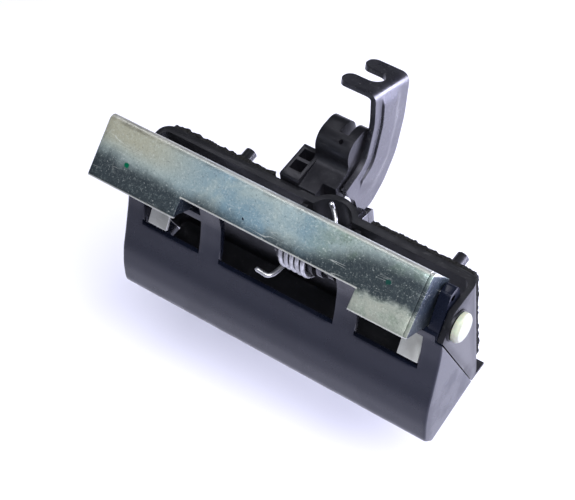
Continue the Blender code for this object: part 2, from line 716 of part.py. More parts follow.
def build_fork_bend(tools):
    """Cutter that rounds the outer side of the fold between the arm and the fork."""
    line = Vector(FORK_FAR) - Vector(FORK_NEAR)
    along = line.normalized()
    beyond = ARM_SIDE + RIB_PROUD + LEVER_PLATE
    bend = corner_arc(Vector((ARM_SIDE, 0)), Vector((0, -1)), Vector((-1, 0)), FORK_BEND, steps=8)
    outline = [(beyond, LEVER_PLATE), (beyond, -FORK_BEND), *bend, (ARM_SIDE - FORK_BEND, LEVER_PLATE)]
    turn = fork_turn((1, 0, 0), (0, -along.y, along.x), (0, -along.x, -along.y))
    return prism("fork_bend", outline, -line.length - LEVER_PLATE, LEVER_PLATE, turn, tools)


def build_lever(home, tools, finish):
    near, far = Vector(FORK_NEAR), Vector(FORK_FAR)
    along = (far - near).normalized()
    down = Vector((along.y, -along.x)) * LEVER_PLATE / 3
    top = [(*(far + down), 0), (*(near + down), 0)]
    arm = rounded([*ARM_BACK, *top, *ARM_FRONT], steps=8)
    arm_low = ARM_SIDE - LEVER_PLATE
    lever = prism("release_lever", arm, arm_low, ARM_SIDE, ALONG_X, home, finish)
    root = [Vector(place) for place in ROOT_OUTLINE]
    hub_low = HUB_SIDE - LEVER_PLATE
    join(lever, prism("lever_root", root, hub_low, HUB_SIDE, ALONG_X, tools))
    join(lever, rod("lever_hub", HUB_RADIUS, hub_low, HUB_SIDE, ALONG_X, (0, 0), tools))
    join(lever, box("lever_heel", (hub_low, -HEEL_HALF, 0), (HUB_SIDE, HEEL_HALF, HEEL_TOP), tools))
    joggle_high = JOGGLE_Y + LEVER_PLATE
    join(lever, box("lever_joggle", (arm_low, JOGGLE_Y, ROOT_OUTLINE[1][1]),
                    (HUB_SIDE, joggle_high, ROOT_OUTLINE[2][1]), tools))
    join(lever, build_fork(tools))
    cut(lever, rod("lever_bore", SHAFT_RADIUS + BUSH_WALL + FIT_GAP, hub_low - LEVER_PLATE, HUB_SIDE + LEVER_PLATE,
                   ALONG_X, (0, 0), tools))
    join(lever, build_rib(tools))
    cut(lever, build_fork_bend(tools))
    return lever


def build_rib(tools):
    """Half-round stiffener pressed up along the middle of the lever's arm."""
    curve = bpy.data.curves.new("lever_rib", "CURVE")
    curve.dimensions = "3D"
    curve.bevel_depth = RIB_RADIUS
    curve.bevel_resolution = 3
    curve.use_fill_caps = True
    path = rounded_path(RIB_PATH, [0.025] * (len(RIB_PATH) - 2), steps=3)
    spline = curve.splines.new("POLY")
    spline.points.add(len(path) - 1)
    for point, place in zip(spline.points, path):
        point.co = (ARM_SIDE - RIB_RADIUS + RIB_PROUD, place.x, place.y, 1)
    rib = add("lever_rib", meshed("lever_rib", curve), tools)
    reach = path[-1].length + RIB_RADIUS
    keep(rib, box("rib_side", (ARM_SIDE - LEVER_PLATE / 2, 0, -reach), (ARM_SIDE + RIB_RADIUS, reach, reach),
                  tools))
    return rib


def build_bush(home, finish):
    """Flanged bearing between the centre shaft and the lever's hub."""
    bore = SHAFT_RADIUS + RUN_GAP
    outer = SHAFT_RADIUS + BUSH_WALL
    flange = outer + BUSH_FLANGE
    low = HUB_SIDE - LEVER_PLATE - BUSH_FLANGE
    high = HUB_SIDE + BUSH_FLANGE
    step = HUB_SIDE + FIT_GAP
    profile = ((bore, high), (flange, high), (flange, step), (outer, step), (outer, low), (bore, low), (bore, high))
    return turned("lever_bush", profile, home, finish)


def build_cable_clip(home, tools, finish):
    """Moulded holder behind the housing: a base block with pockets and a slotted nose for the cable."""
    near = BACK_FACE + FIT_GAP
    reach, top = NOSE_CENTRE
    nose = rounded((
        (near, BLOCK_LOW, 0.001),
        (reach, top - NOSE_RADIUS, NOSE_RADIUS * 0.8),
        (reach + NOSE_RADIUS, top - NOSE_RADIUS * 0.4, NOSE_RADIUS * 0.6),
        (reach + NOSE_RADIUS, top + NOSE_RADIUS, NOSE_RADIUS * 0.75),
        (reach - NOSE_RADIUS * 0.9, top + NOSE_RADIUS, NOSE_RADIUS * 0.75),
        (reach - NOSE_RADIUS * 0.9, top - NOSE_RADIUS * 0.3, NOSE_RADIUS * 0.4),
        (near, top - NOSE_RADIUS * 0.6, 0.001),
    ))
    clip = prism("cable_clip", nose, CLIP_NOSE_LEFT, CLIP_RIGHT, ALONG_X, home, finish)
    block = rounded(((near, BLOCK_LOW, 0.001), (BLOCK_REACH - CLIP_BASE, BLOCK_LOW, 0.003),
                     (BLOCK_REACH, BLOCK_TOP, 0.0015), (near, BLOCK_TOP, 0.001)))
    join(clip, prism("clip_block", block, CLIP_LEFT, CLIP_NOSE_LEFT + POCKET_WALL, ALONG_X, tools))
    slot_low = CLIP_SLOT_X - CLIP_SLOT / 2
    slot_high = CLIP_SLOT_X + CLIP_SLOT / 2
    cut(clip, box("cable_slot", (slot_low, CLIP_SLOT_BACK, BLOCK_LOW - WALL),
                  (slot_high, reach + 2 * NOSE_RADIUS, top + 2 * NOSE_RADIUS), tools))
    cut(clip, box("bulge_relief", (BULGE_X - BULGE_HALF - CLIP_GAP, 0, 2 * BLOCK_LOW),
                  (CLIP_RIGHT + WALL, BACK_FACE + BULGE_REACH + CLIP_GAP, 2 * BLOCK_TOP), tools))
    cut(clip, rod("nose_hole", CLIP_HOLE, 2 * BLOCK_LOW, top + 2 * NOSE_RADIUS, ALONG_Z, CLIP_HOLE_PLACE, tools,
                  steps=16))
    pocket_low = CLIP_LEFT + POCKET_WALL
    pocket_high = CLIP_NOSE_LEFT
    middle = (near + BLOCK_REACH) / 2
    pockets = (("near", near + CLIP_BASE, middle), ("far", middle + POCKET_WALL, BLOCK_REACH - 2 * POCKET_WALL))
    for name, start, end in pockets:
        cut(clip, box(f"pocket_{name}", (pocket_low, start, BLOCK_LOW + 2 * POCKET_WALL),
                      (pocket_high, end, BLOCK_TOP + WALL), tools))
    return clip


def build():
    clear_scene()
    home = collection("tailgate_handle")
    tools = collection("cutters")
    moulded = material("Moulded black plastic", (0.018, 0.019, 0.022), 0.42)
    glossy = material("Smooth black plastic", (0.020, 0.021, 0.026), 0.30)
    foam = material("Black foam", (0.010, 0.010, 0.011), 0.95)
    zinc = material("Zinc plated steel", (0.56, 0.60, 0.58), 0.34, 1.0)
    coated = material("Black coated steel", (0.045, 0.045, 0.052), 0.33, 0.2)
    wire = material("Bright spring wire", (0.62, 0.62, 0.66), 0.30, 1.0)
    nylon = material("Natural nylon", (0.74, 0.74, 0.69), 0.45)
    bright = material("Plain steel", (0.50, 0.50, 0.50), 0.35, 1.0)
    build_housing(home, tools, moulded)
    build_seal(home, tools, foam)
    build_paddle(home, tools, glossy)
    build_weight(home, tools, zinc)
    for name, sign in (("left", -1), ("right", 1)):
        build_end_pin(f"end_pin_{name}", sign, home, nylon)
        build_rivet(f"weight_rivet_{name}", sign, home, bright)
    build_shaft(home, bright)
    low, high = shaft_ends()
    build_shaft_clip("shaft_clip_left", low - CLIP_THICK - FIT_GAP / 2, home, tools, bright)
    build_shaft_clip("shaft_clip_right", high + FIT_GAP / 2, home, tools, bright)
    build_sleeve(home, moulded)
    build_spring(home, wire)
    build_lever(home, tools, coated)
    build_bush(home, nylon)
    build_cable_clip(home, tools, moulded)


if __name__ == "__main__":
    build()
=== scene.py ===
"""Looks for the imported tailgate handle: finer surfaces and finishes laid over its fixed parts.

Metres, +X along the handle, +Y into the tailgate, +Z up. Places of surfaces are in millimetres from the
middle of the paddle's pivot axis, and world() turns them into metres in the part's own frame. Places in
a material's masks are in metres in that frame.
"""

import json
import math

import bmesh
import bpy
import numpy as np
from bpy.props import FloatProperty, FloatVectorProperty, PointerProperty
from mathutils import Matrix, Vector

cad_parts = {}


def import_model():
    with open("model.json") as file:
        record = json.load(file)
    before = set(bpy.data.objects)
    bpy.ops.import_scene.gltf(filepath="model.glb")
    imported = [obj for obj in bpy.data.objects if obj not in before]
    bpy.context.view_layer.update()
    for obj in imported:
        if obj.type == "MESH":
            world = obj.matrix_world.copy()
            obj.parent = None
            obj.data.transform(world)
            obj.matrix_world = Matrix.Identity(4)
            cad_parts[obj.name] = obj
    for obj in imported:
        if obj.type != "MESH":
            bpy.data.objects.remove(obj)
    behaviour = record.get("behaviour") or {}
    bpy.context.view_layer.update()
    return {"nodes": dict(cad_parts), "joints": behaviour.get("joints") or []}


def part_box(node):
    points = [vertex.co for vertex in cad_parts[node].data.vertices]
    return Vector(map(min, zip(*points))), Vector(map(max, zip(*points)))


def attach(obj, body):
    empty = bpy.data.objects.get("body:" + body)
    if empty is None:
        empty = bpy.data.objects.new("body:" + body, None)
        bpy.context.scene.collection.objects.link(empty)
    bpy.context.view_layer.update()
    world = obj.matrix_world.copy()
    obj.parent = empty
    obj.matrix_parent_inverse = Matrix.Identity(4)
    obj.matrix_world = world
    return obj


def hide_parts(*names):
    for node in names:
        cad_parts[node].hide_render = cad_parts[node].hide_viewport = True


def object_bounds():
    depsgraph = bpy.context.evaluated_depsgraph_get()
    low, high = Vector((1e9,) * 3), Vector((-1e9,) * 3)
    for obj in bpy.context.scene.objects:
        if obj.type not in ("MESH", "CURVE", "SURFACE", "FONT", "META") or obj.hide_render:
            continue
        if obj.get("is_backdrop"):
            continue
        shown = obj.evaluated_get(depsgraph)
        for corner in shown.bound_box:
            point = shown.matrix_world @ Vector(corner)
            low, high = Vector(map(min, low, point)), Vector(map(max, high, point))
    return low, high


bl_info = {
    "name": "Tailgate handle looks",
    "version": (1, 0, 0),
    "blender": (4, 5, 0),
    "location": "3D View > Sidebar > Handle",
    "description": "Builds the finer surfaces, finishes and studio of the tailgate handle",
    "category": "Object",
}

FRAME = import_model()
PADDLE_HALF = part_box("paddle")[1][0] * 1000
HINGE = Vector(FRAME["joints"][0]["pos_m"])
MM = 0.001
SHEEN = (0.86, 0.86, 1.0, 1.0)
DUST = (0.10, 0.10, 0.11)
# Colour of the painted highlights along the zinc plate's front edge, crest and notch.
ZINC_EDGE_HIGHLIGHT = (0.80, 0.80, 0.77)


def world(points):
    """Points in millimetres from the pivot axis, as points in metres in the part's frame."""
    return np.asarray(points, float) * MM + np.array(HINGE)


# Shader helpers


def new_material(name, colour, roughness, metallic=0.0, **settings):
    """A Principled material whose even values are set on the shader's own sockets."""
    made = bpy.data.materials.new(name)
    made.use_nodes = True
    shader = made.node_tree.nodes["Principled BSDF"]
    shader.inputs["Base Color"].default_value = (*colour, 1.0)
    shader.inputs["Roughness"].default_value = roughness
    shader.inputs["Metallic"].default_value = metallic
    for socket, value in settings.items():
        shader.inputs[socket.replace("_", " ")].default_value = value
    return made, made.node_tree, shader


def place(tree, kind, inputs=None, **settings):
    """A node with its settings, and with input values or links by socket name or number."""
    node = tree.nodes.new(kind)
    for name, value in settings.items():
        setattr(node, name, value)
    for socket, value in (inputs or {}).items():
        if isinstance(value, bpy.types.NodeSocket):
            tree.links.new(value, node.inputs[socket])
        else:
            node.inputs[socket].default_value = value
    return node


def new_group(name, inputs, outputs):
    """An empty node group with named sockets: (tree, its input node, its output node)."""
    tree = bpy.data.node_groups.new(name, "ShaderNodeTree")
    kinds = {"value": "NodeSocketFloat", "colour": "NodeSocketColor", "vector": "NodeSocketVector"}
    for socket, kind, default in inputs:
        made = tree.interface.new_socket(socket, in_out="INPUT", socket_type=kinds[kind])
        if default is not None:
            made.default_value = default
    for socket, kind in outputs:
        tree.interface.new_socket(socket, in_out="OUTPUT", socket_type=kinds[kind])
    return tree, tree.nodes.new("NodeGroupInput"), tree.nodes.new("NodeGroupOutput")


def noise(tree, vector, scale, detail=3.0, rough=0.55, distort=0.0):
    """Noise from 0 to 1, finer with a larger scale."""
    return place(tree, "ShaderNodeTexNoise", {
        "Vector": vector, "Scale": scale, "Detail": detail, "Roughness": rough, "Distortion": distort,
    }).outputs["Fac"]


def ramp(tree, value, low, high, bottom=0.0, top=1.0):
    """Value mapped smoothly from low..high to bottom..top."""
    return place(tree, "ShaderNodeMapRange", {
        "Value": value, "From Min": low, "From Max": high, "To Min": bottom, "To Max": top,
    }, interpolation_type="SMOOTHSTEP").outputs["Result"]


def band(tree, value, start, full):
    """Mask that rises smoothly from 0 at start to 1 at full, whichever is the larger."""
    if start < full:
        return ramp(tree, value, start, full)
    return ramp(tree, value, full, start, 1.0, 0.0)


def math_node(tree, operation, first, second=0.0, clamp=False):
    """Result of a maths node on two values."""
    return place(tree, "ShaderNodeMath", {0: first, 1: second}, operation=operation,
                 use_clamp=clamp).outputs[0]


def plus(tree, first, second):
    """Sum of two values."""
    return math_node(tree, "ADD", first, second)


def minus(tree, first, second):
    """First value less the second."""
    return math_node(tree, "SUBTRACT", first, second)


def times(tree, first, second):
    """Product of two values."""
    return math_node(tree, "MULTIPLY", first, second)


def blend_colours(tree, factor, first, second):
    """Mix of two colours by a factor from 0, all the first, to 1, all the second."""
    first, second = (value if isinstance(value, bpy.types.NodeSocket) else (*value[:3], 1.0)
                     for value in (first, second))
    return place(tree, "ShaderNodeMix", {0: factor, 6: first, 7: second}, data_type="RGBA").outputs[2]


def object_place(tree):
    """The piece's own Object coordinates."""
    return place(tree, "ShaderNodeTexCoord").outputs["Object"]


def put_group(tree, name, inputs):
    """A shared node group placed in a tree, with its inputs."""
    return place(tree, "ShaderNodeGroup", inputs, node_tree=group(name))


def link_bump(tree, shader, height, strength, distance):
    """Bumps a shader's normal by a height, over a distance in metres."""
    bump = place(tree, "ShaderNodeBump", {"Height": height, "Strength": strength, "Distance": distance})
    tree.links.new(bump.outputs["Normal"], shader.inputs["Normal"])


# Shared node groups


def group_grain():
    """Moulded or rolled grain: Height for a bump, and Spots, a mask of slow patches."""
    tree, start, end = new_group("Surface grain", [
        ("Place", "vector", None), ("Fine scale", "value", 900.0), ("Patch scale", "value", 45.0),
    ], [("Height", "value"), ("Spots", "value")])
    fine = noise(tree, start.outputs["Place"], start.outputs["Fine scale"], 2.0)
    patch = noise(tree, start.outputs["Place"], start.outputs["Patch scale"], 4.0)
    tree.links.new(fine, end.inputs["Height"])
    tree.links.new(ramp(tree, patch, 0.38, 0.68), end.inputs["Spots"])
    return tree


def group_scratches():
    """Thin scratches: Mask is 1 on lines where a stretched, bent noise crosses its middle value."""
    tree, start, end = new_group("Fine scratches", [
        ("Place", "vector", None), ("Scale", "value", 30.0), ("Width", "value", 0.01),
        ("Stretch", "vector", (1.0, 8.0, 8.0)),
    ], [("Mask", "value")])
    stretched = place(tree, "ShaderNodeVectorMath", {
        0: start.outputs["Place"], 1: start.outputs["Stretch"],
    }, operation="MULTIPLY").outputs[0]
    lines = noise(tree, stretched, start.outputs["Scale"], 2.0, 0.5, 0.6)
    away = math_node(tree, "ABSOLUTE", minus(tree, lines, 0.5))
    thin = math_node(tree, "DIVIDE", away, start.outputs["Width"], clamp=True)
    here = ramp(tree, noise(tree, start.outputs["Place"], 60.0, 2.0), 0.52, 0.66)
    tree.links.new(times(tree, minus(tree, 1.0, thin), here), end.inputs["Mask"])
    return tree


def group_dust():
    """Dust: Mask is 1 on small scattered specks and a little in patches."""
    tree, start, end = new_group("Dust", [
        ("Place", "vector", None), ("Speck scale", "value", 700.0), ("Amount", "value", 0.3),
    ], [("Mask", "value")])
    specks = ramp(tree, noise(tree, start.outputs["Place"], start.outputs["Speck scale"], 1.0), 0.66, 0.74)
    patch = ramp(tree, noise(tree, start.outputs["Place"], 70.0, 3.0), 0.45, 0.75)
    both = plus(tree, specks, times(tree, patch, 0.35))
    mask = math_node(tree, "MULTIPLY", both, start.outputs["Amount"], clamp=True)
    tree.links.new(mask, end.inputs["Mask"])
    return tree


GROUPS = {}


def group(name):
    """A shared node group by name, made when it is first asked for."""
    makers = {"grain": group_grain, "scratches": group_scratches, "dust": group_dust}
    if name not in GROUPS:
        GROUPS[name] = makers[name]()
    return GROUPS[name]


# Finishes


def moulded_material(name, colour, roughness, grain, dust, scratch_width):
    """Injection-moulded plastic: fine grain, patches of gloss, a little dust and fine scratches."""
    made, tree, shader = new_material(name, colour, roughness, Specular_IOR_Level=0.36, Specular_Tint=SHEEN)
    where = object_place(tree)
    surface = put_group(tree, "grain", {"Place": where, "Fine scale": 1400.0, "Patch scale": 60.0})
    marks = put_group(tree, "scratches", {"Place": where, "Scale": 28.0, "Width": scratch_width})
    specks = put_group(tree, "dust", {"Place": where, "Amount": dust})
    scratched = tuple(min(1.0, c * 3 + 0.05) for c in colour)
    worn = blend_colours(tree, times(tree, marks.outputs["Mask"], 0.35), colour, scratched)
    tree.links.new(blend_colours(tree, specks.outputs["Mask"], worn, DUST), shader.inputs["Base Color"])
    rough = ramp(tree, surface.outputs["Spots"], 0.0, 1.0, roughness - 0.06, roughness + 0.08)
    rough = math_node(tree, "ADD", rough, times(tree, marks.outputs["Mask"], 0.2), clamp=True)
    tree.links.new(rough, shader.inputs["Roughness"])
    link_bump(tree, shader, surface.outputs["Height"], grain, 0.0002)
    return made


def zinc_casts(tree, along, height, cloud, slow, flakes):
    """Layers of zinc's clouds: yellow at the left, blue in the middle, green at the right, pale flakes."""
    yellow = times(tree, band(tree, along, -0.030, -0.085), band(tree, height, 0.012, 0.024))
    middle = times(tree, band(tree, along, -0.070, -0.020), band(tree, along, 0.045, 0.010))
    blue = times(tree, middle, band(tree, slow, 0.35, 0.60))
    green = times(tree, band(tree, along, 0.005, 0.040), band(tree, cloud, 0.35, 0.65))
    pale = ramp(tree, flakes, 0.50, 0.75, 0.0, 0.45)
    return ((yellow, (0.47, 0.46, 0.37)), (blue, (0.22, 0.33, 0.41)), (green, (0.17, 0.23, 0.20)),
            (pale, (0.66, 0.72, 0.71)))


def zinc_painted_reflection(tree, along, uneven, cloud, flakes, painted_dark):
    """Layers of a painted dark reflection, which lies along the front and climbs to the right, and of the
    right tab, which is kept out of it and tinted grey-yellow.
    """
    edge = plus(tree, 0.0135, times(tree, band(tree, along, 0.010, 0.058), 0.0125))
    # Painted dark reflection: a band along the front whose upper border climbs towards the right.
    painted_reflection = band(tree, minus(tree, edge, uneven), -0.0050, 0.0045)
    tab = times(tree, band(tree, along, 0.042, 0.050), band(tree, uneven, 0.0125, 0.0080))
    painted_reflection = times(tree, painted_reflection, minus(tree, 1.0, tab))
    painted_reflection = times(tree, painted_reflection, ramp(tree, flakes, 0.48, 0.78, 0.95, 0.70))
    return (painted_reflection, painted_dark), (times(tree, tab, ramp(tree, cloud, 0.35, 0.65, 0.85, 0.35)), (0.42, 0.42, 0.36))


def zinc_grit_and_end_reflection(tree, where, cloud, grit):
    """Layers of a painted dark reflection on the end faces that point along +X, of pale and dark grit, and of
    fine scratches.
    """
    facing = place(tree, "ShaderNodeNewGeometry").outputs["Normal"]
    # Painted dark reflection on the faces that point along +X.
    end = band(tree, place(tree, "ShaderNodeSeparateXYZ", {0: facing}).outputs[0], 0.75, 0.95)
    marks = put_group(tree, "scratches", {"Place": where, "Scale": 24.0, "Width": 0.012})
    return ((times(tree, end, ramp(tree, cloud, 0.35, 0.65, 1.0, 0.85)), (0.018, 0.028, 0.045)),
            (ramp(tree, grit, 0.58, 0.74, 0.0, 0.55), (0.80, 0.84, 0.84)),
            (ramp(tree, grit, 0.28, 0.44, 0.55, 0.0), (0.05, 0.06, 0.07)),
            (times(tree, marks.outputs["Mask"], 0.5), (0.85, 0.87, 0.86)))


def zinc_edge_highlights(tree, along, height):
    """Layers of a painted highlight on the front edge and the crest, and along the notch."""
    # Painted highlights: thin bright lines on the front edge and the crest.
    edge_highlight = math_node(tree, "MAXIMUM", band(tree, height, 0.0009, 0.0003), band(tree, height, 0.0292, 0.0304))
    notch = times(tree, band(tree, height, 0.0097, 0.0099), band(tree, height, 0.0108, 0.0104))
    inside = times(tree, band(tree, along, -0.0490, -0.0480), band(tree, along, 0.0490, 0.0480))
    return (times(tree, edge_highlight, 0.7), ZINC_EDGE_HIGHLIGHT), (times(tree, times(tree, notch, inside), 0.7), ZINC_EDGE_HIGHLIGHT)


def paint_dots(tree, along, uneven):
    """Layers of three small paint dots: each fades out between 0.8 and 1.25 times its radius."""
    layers = []
    for left, up, size, paint in ((-0.0806, 0.0129, 0.0013, (0.0, 0.14, 0.07)),
                                  (0.0608, 0.0185, 0.0014, (0.01, 0.06, 0.05)),
                                  (-0.0148, 0.0160, 0.0006, (0.01, 0.015, 0.03))):
        across, off = minus(tree, along, left), minus(tree, uneven, up)
        far = math_node(tree, "SQRT", plus(tree, times(tree, across, across), times(tree, off, off)))
        layers.append((band(tree, far, size * 1.25, size * 0.8), paint))
    return layers


def zinc_material():
    """Zinc plating, laid up in layers of a mask and a colour, among them a painted dark reflection on the
    front and on the end faces, and painted highlights along the edges. Height runs up the plate's slope from
    its front edge, and clouds make the borders of the masks uneven."""
    colours = bpy.context.scene.handle_colours
    # The second colour is that of the painted dark reflection.
    plain, painted_dark = tuple(colours.zinc), tuple(colours.zinc_painted_dark)
    made, tree, shader = new_material("Zinc plated steel", plain, 0.4, 0.9)
    where = object_place(tree)
    along = place(tree, "ShaderNodeSeparateXYZ", {0: where}).outputs[0]
    slope = place(tree, "ShaderNodeVectorMath", {0: where, 1: (0.0, *SLOPE)}, operation="DOT_PRODUCT")
    height = minus(tree, slope.outputs["Value"], SLOPE_START)
    cloud = noise(tree, where, 90.0, 6.0, 0.7, 0.4)
    slow = noise(tree, where, 32.0, 4.0, 0.6, 0.5)
    flakes = noise(tree, where, 640.0, 4.0, 0.75)
    grit = noise(tree, where, 1000.0, 3.0, 0.8)
    uneven = plus(tree, height, times(tree, minus(tree, cloud, 0.5), 0.007))
    uneven = plus(tree, uneven, times(tree, minus(tree, slow, 0.5), 0.009))
    base = plain
    for mask, colour in (*zinc_casts(tree, along, height, cloud, slow, flakes),
                         *zinc_painted_reflection(tree, along, uneven, cloud, flakes, painted_dark),
                         *zinc_grit_and_end_reflection(tree, where, cloud, grit), *zinc_edge_highlights(tree, along, height),
                         *paint_dots(tree, along, uneven)):
        base = blend_colours(tree, mask, base, colour)
    tree.links.new(base, shader.inputs["Base Color"])
    tree.links.new(ramp(tree, cloud, 0.3, 0.7, 0.34, 0.54), shader.inputs["Roughness"])
    surface = put_group(tree, "grain", {"Place": where, "Fine scale": 800.0, "Patch scale": 34.0})
    link_bump(tree, shader, plus(tree, surface.outputs["Height"], times(tree, flakes, 0.8)), 0.32, 0.0003)
    return made


def coated_material():
    """Black coated steel, smooth and glossy, with patches of gloss and a little dust."""
    colour = tuple(bpy.context.scene.handle_colours.coated)
    made, tree, shader = new_material("Black coated steel", colour, 0.3, Specular_IOR_Level=0.95,
                                      Specular_Tint=SHEEN)
    where = object_place(tree)
    surface = put_group(tree, "grain", {"Place": where, "Fine scale": 500.0, "Patch scale": 80.0})
    specks = put_group(tree, "dust", {"Place": where, "Amount": 0.12})
    tree.links.new(blend_colours(tree, specks.outputs["Mask"], colour, (0.30, 0.30, 0.32)),
                   shader.inputs["Base Color"])
    tree.links.new(ramp(tree, surface.outputs["Spots"], 0, 1, 0.26, 0.40), shader.inputs["Roughness"])
    link_bump(tree, shader, surface.outputs["Height"], 0.12, 0.0002)
    return made


def foam_material():
    """Black closed-cell foam, matte, with coarse cells all over; its colour is darker where the cells' bump
    is low, a painted shade, and lighter where it is high, a painted highlight.
    """
    colour = tuple(bpy.context.scene.handle_colours.foam)
    made, tree, shader = new_material("Black foam", colour, 0.95, Specular_IOR_Level=0.15)
    where = object_place(tree)
    cells = noise(tree, where, 900.0, 5.0, 0.8)
    # Painted shade in the cells' hollows and painted light on their tops, from the same noise as the bump.
    deep, raised = tuple(c * 0.4 for c in colour), tuple(min(1, c * 2.2) for c in colour)
    tree.links.new(blend_colours(tree, ramp(tree, cells, 0.35, 0.7), deep, raised),
                   shader.inputs["Base Color"])
    link_bump(tree, shader, cells, 0.9, 0.0012)
    return made


def metal_material(name, colour, roughness):
    """Bare metal with fine drawn or turned lines."""
    made, tree, shader = new_material(name, colour, roughness, 1.0)
    where = object_place(tree)
    surface = put_group(tree, "grain", {"Place": where, "Fine scale": 1600.0, "Patch scale": 200.0})
    tree.links.new(blend_colours(tree, surface.outputs["Spots"], colour, tuple(c * 0.72 for c in colour)),
                   shader.inputs["Base Color"])
    tree.links.new(ramp(tree, surface.outputs["Spots"], 0, 1, roughness - 0.05, roughness + 0.15),
                   shader.inputs["Roughness"])
    link_bump(tree, shader, surface.outputs["Height"], 0.1, 0.0001)
    return made


def nylon_material():
    """Natural nylon: pale, slightly translucent, with a faint yellow-green cast in patches."""
    colour = tuple(bpy.context.scene.handle_colours.nylon)
    made, tree, shader = new_material("Natural nylon", colour, 0.42, Subsurface_Weight=0.15,
                                      Subsurface_Scale=0.002)
    where = object_place(tree)
    surface = put_group(tree, "grain", {"Place": where, "Fine scale": 1100.0, "Patch scale": 160.0})
    tree.links.new(blend_colours(tree, surface.outputs["Spots"], colour, (0.36, 0.39, 0.30)),
                   shader.inputs["Base Color"])
    link_bump(tree, shader, surface.outputs["Height"], 0.12, 0.0002)
    return made


MATERIALS = {}


def material(name):
    """A finish by name, made when it is first asked for."""
    colours = bpy.context.scene.handle_colours
    housing, paddle, clip = tuple(colours.housing), tuple(colours.paddle), tuple(colours.clip)
    makers = {
        "housing": lambda: moulded_material("Moulded black plastic", housing, 0.38, 0.22, 0.10, 0.008),
        "paddle": lambda: moulded_material("Smooth black plastic", paddle, 0.27, 0.03, 0.012, 0.004),
        "clip": lambda: moulded_material("Clip plastic", clip, 0.34, 0.14, 0.06, 0.006),
        "zinc": zinc_material,
        "coated": coated_material,
        "foam": foam_material,
        "wire": lambda: metal_material("Bright spring wire", tuple(colours.wire), 0.42),
        "steel": lambda: metal_material("Plain steel", tuple(colours.steel), 0.35),
        "nylon": nylon_material,
    }
    if name not in MATERIALS:
        MATERIALS[name] = makers[name]()
    return MATERIALS[name]


def smooth_shading():
    """Modifier tree that shades a mesh smooth, apart from edges sharper than its angle."""
    if "Smooth shading" in bpy.data.node_groups:
        return bpy.data.node_groups["Smooth shading"]
    tree = bpy.data.node_groups.new("Smooth shading", "GeometryNodeTree")
    tree.interface.new_socket("Geometry", in_out="INPUT", socket_type="NodeSocketGeometry")
    tree.interface.new_socket("Geometry", in_out="OUTPUT", socket_type="NodeSocketGeometry")
    start, end = tree.nodes.new("NodeGroupInput"), tree.nodes.new("NodeGroupOutput")
    faces = place(tree, "GeometryNodeSetShadeSmooth", {"Geometry": start.outputs[0]}, domain="FACE")
    angle = place(tree, "GeometryNodeInputMeshEdgeAngle").outputs["Unsigned Angle"]
    sharp = place(tree, "FunctionNodeCompare", {"A": angle, "B": math.radians(38)}, data_type="FLOAT",
                  operation="GREATER_THAN").outputs["Result"]
    edges = place(tree, "GeometryNodeSetShadeSmooth", {
        "Geometry": faces.outputs[0], "Selection": sharp, "Shade Smooth": False,
    }, domain="EDGE")
    tree.links.new(edges.outputs[0], end.inputs[0])
    return tree


def round_edges(made, edge, segments=3, angle=32):
    """Bevel of an edge radius in millimetres, then smooth shading."""
    if edge:
        bevel = made.modifiers.new("Round edges", "BEVEL")
        bevel.width = edge * MM
        bevel.segments = segments
        bevel.limit_method = "ANGLE"
        bevel.angle_limit = math.radians(angle)
        bevel.use_clamp_overlap = True
    made.modifiers.new("Smooth shading", "NODES").node_group = smooth_shading()


def dress_node(node, finish, edge=0.35):
    """Gives a fixed part its finish, and rounds its sharp edges by an edge radius in millimetres."""
    made = FRAME["nodes"][node]
    made.data.materials.clear()
    made.data.materials.append(material(finish))
    weld = made.modifiers.new("Weld", "WELD")
    weld.merge_threshold = 2e-6
    flat = made.modifiers.new("Join flat faces", "DECIMATE")
    flat.decimate_type = "DISSOLVE"
    flat.angle_limit = math.radians(1.0)
    round_edges(made, edge)
    return made


# Paths and grids worked out as whole arrays


def grid_faces(rows, columns, around=False, kept=None):
    """Quads of a grid of rows by columns, closed round its columns if asked; kept marks the cells to make."""
    across = columns if around else columns - 1
    row, column = np.meshgrid(np.arange(rows - 1), np.arange(across), indexing="ij")
    after = (column + 1) % columns
    quads = np.stack([row * columns + column, row * columns + after, (row + 1) * columns + after,
                      (row + 1) * columns + column], axis=-1)
    return quads[kept] if kept is not None else quads.reshape(-1, 4)


def corner_points(before, here, after, radius, steps):
    """Arc that touches both sides of a corner: the angle runs evenly from one side to the other."""
    one, two = before - here, after - here
    one, two = one / np.linalg.norm(one), two / np.linalg.norm(two)
    bend = math.pi - math.acos(np.clip(one @ two, -1, 1))
    if radius <= 0 or bend < 0.02:
        return here[None]
    middle = here + (one + two) / np.linalg.norm(one + two) * radius / math.cos(bend / 2)
    start = here + one * radius * math.tan(bend / 2) - middle
    end = here + two * radius * math.tan(bend / 2) - middle
    part = np.linspace(0, 1, steps + 1)[:, None]
    return middle + (np.sin((1 - part) * bend) * start + np.sin(part * bend) * end) / math.sin(bend)


def bent_path(points, radii, steps=10):
    """Path through points with an arc at each inner one, of the radius that radii gives."""
    points = np.asarray(points, float)
    arcs = [corner_points(points[i - 1], points[i], points[i + 1], radii[i - 1], steps)
            for i in range(1, len(points) - 1)]
    return np.concatenate([points[:1], *arcs, points[-1:]])


def closed_outline(corners, steps=8):
    """Closed outline of corners (a, b, radius), each turned into an arc."""
    points = np.array([corner[:2] for corner in corners], float)
    count = len(corners)
    arcs = [corner_points(points[i - 1], points[i], points[(i + 1) % count], corners[i][2], steps)
            for i in range(count)]
    return np.concatenate(arcs)


def evenly(path, count):
    """The path's points again, count of them, equally far apart along it."""
    reach = np.concatenate([[0], np.cumsum(np.linalg.norm(np.diff(path, axis=0), axis=1))])
    where = np.linspace(0, reach[-1], count)
    return np.stack([np.interp(where, reach, path[:, axis]) for axis in range(path.shape[1])], axis=1)


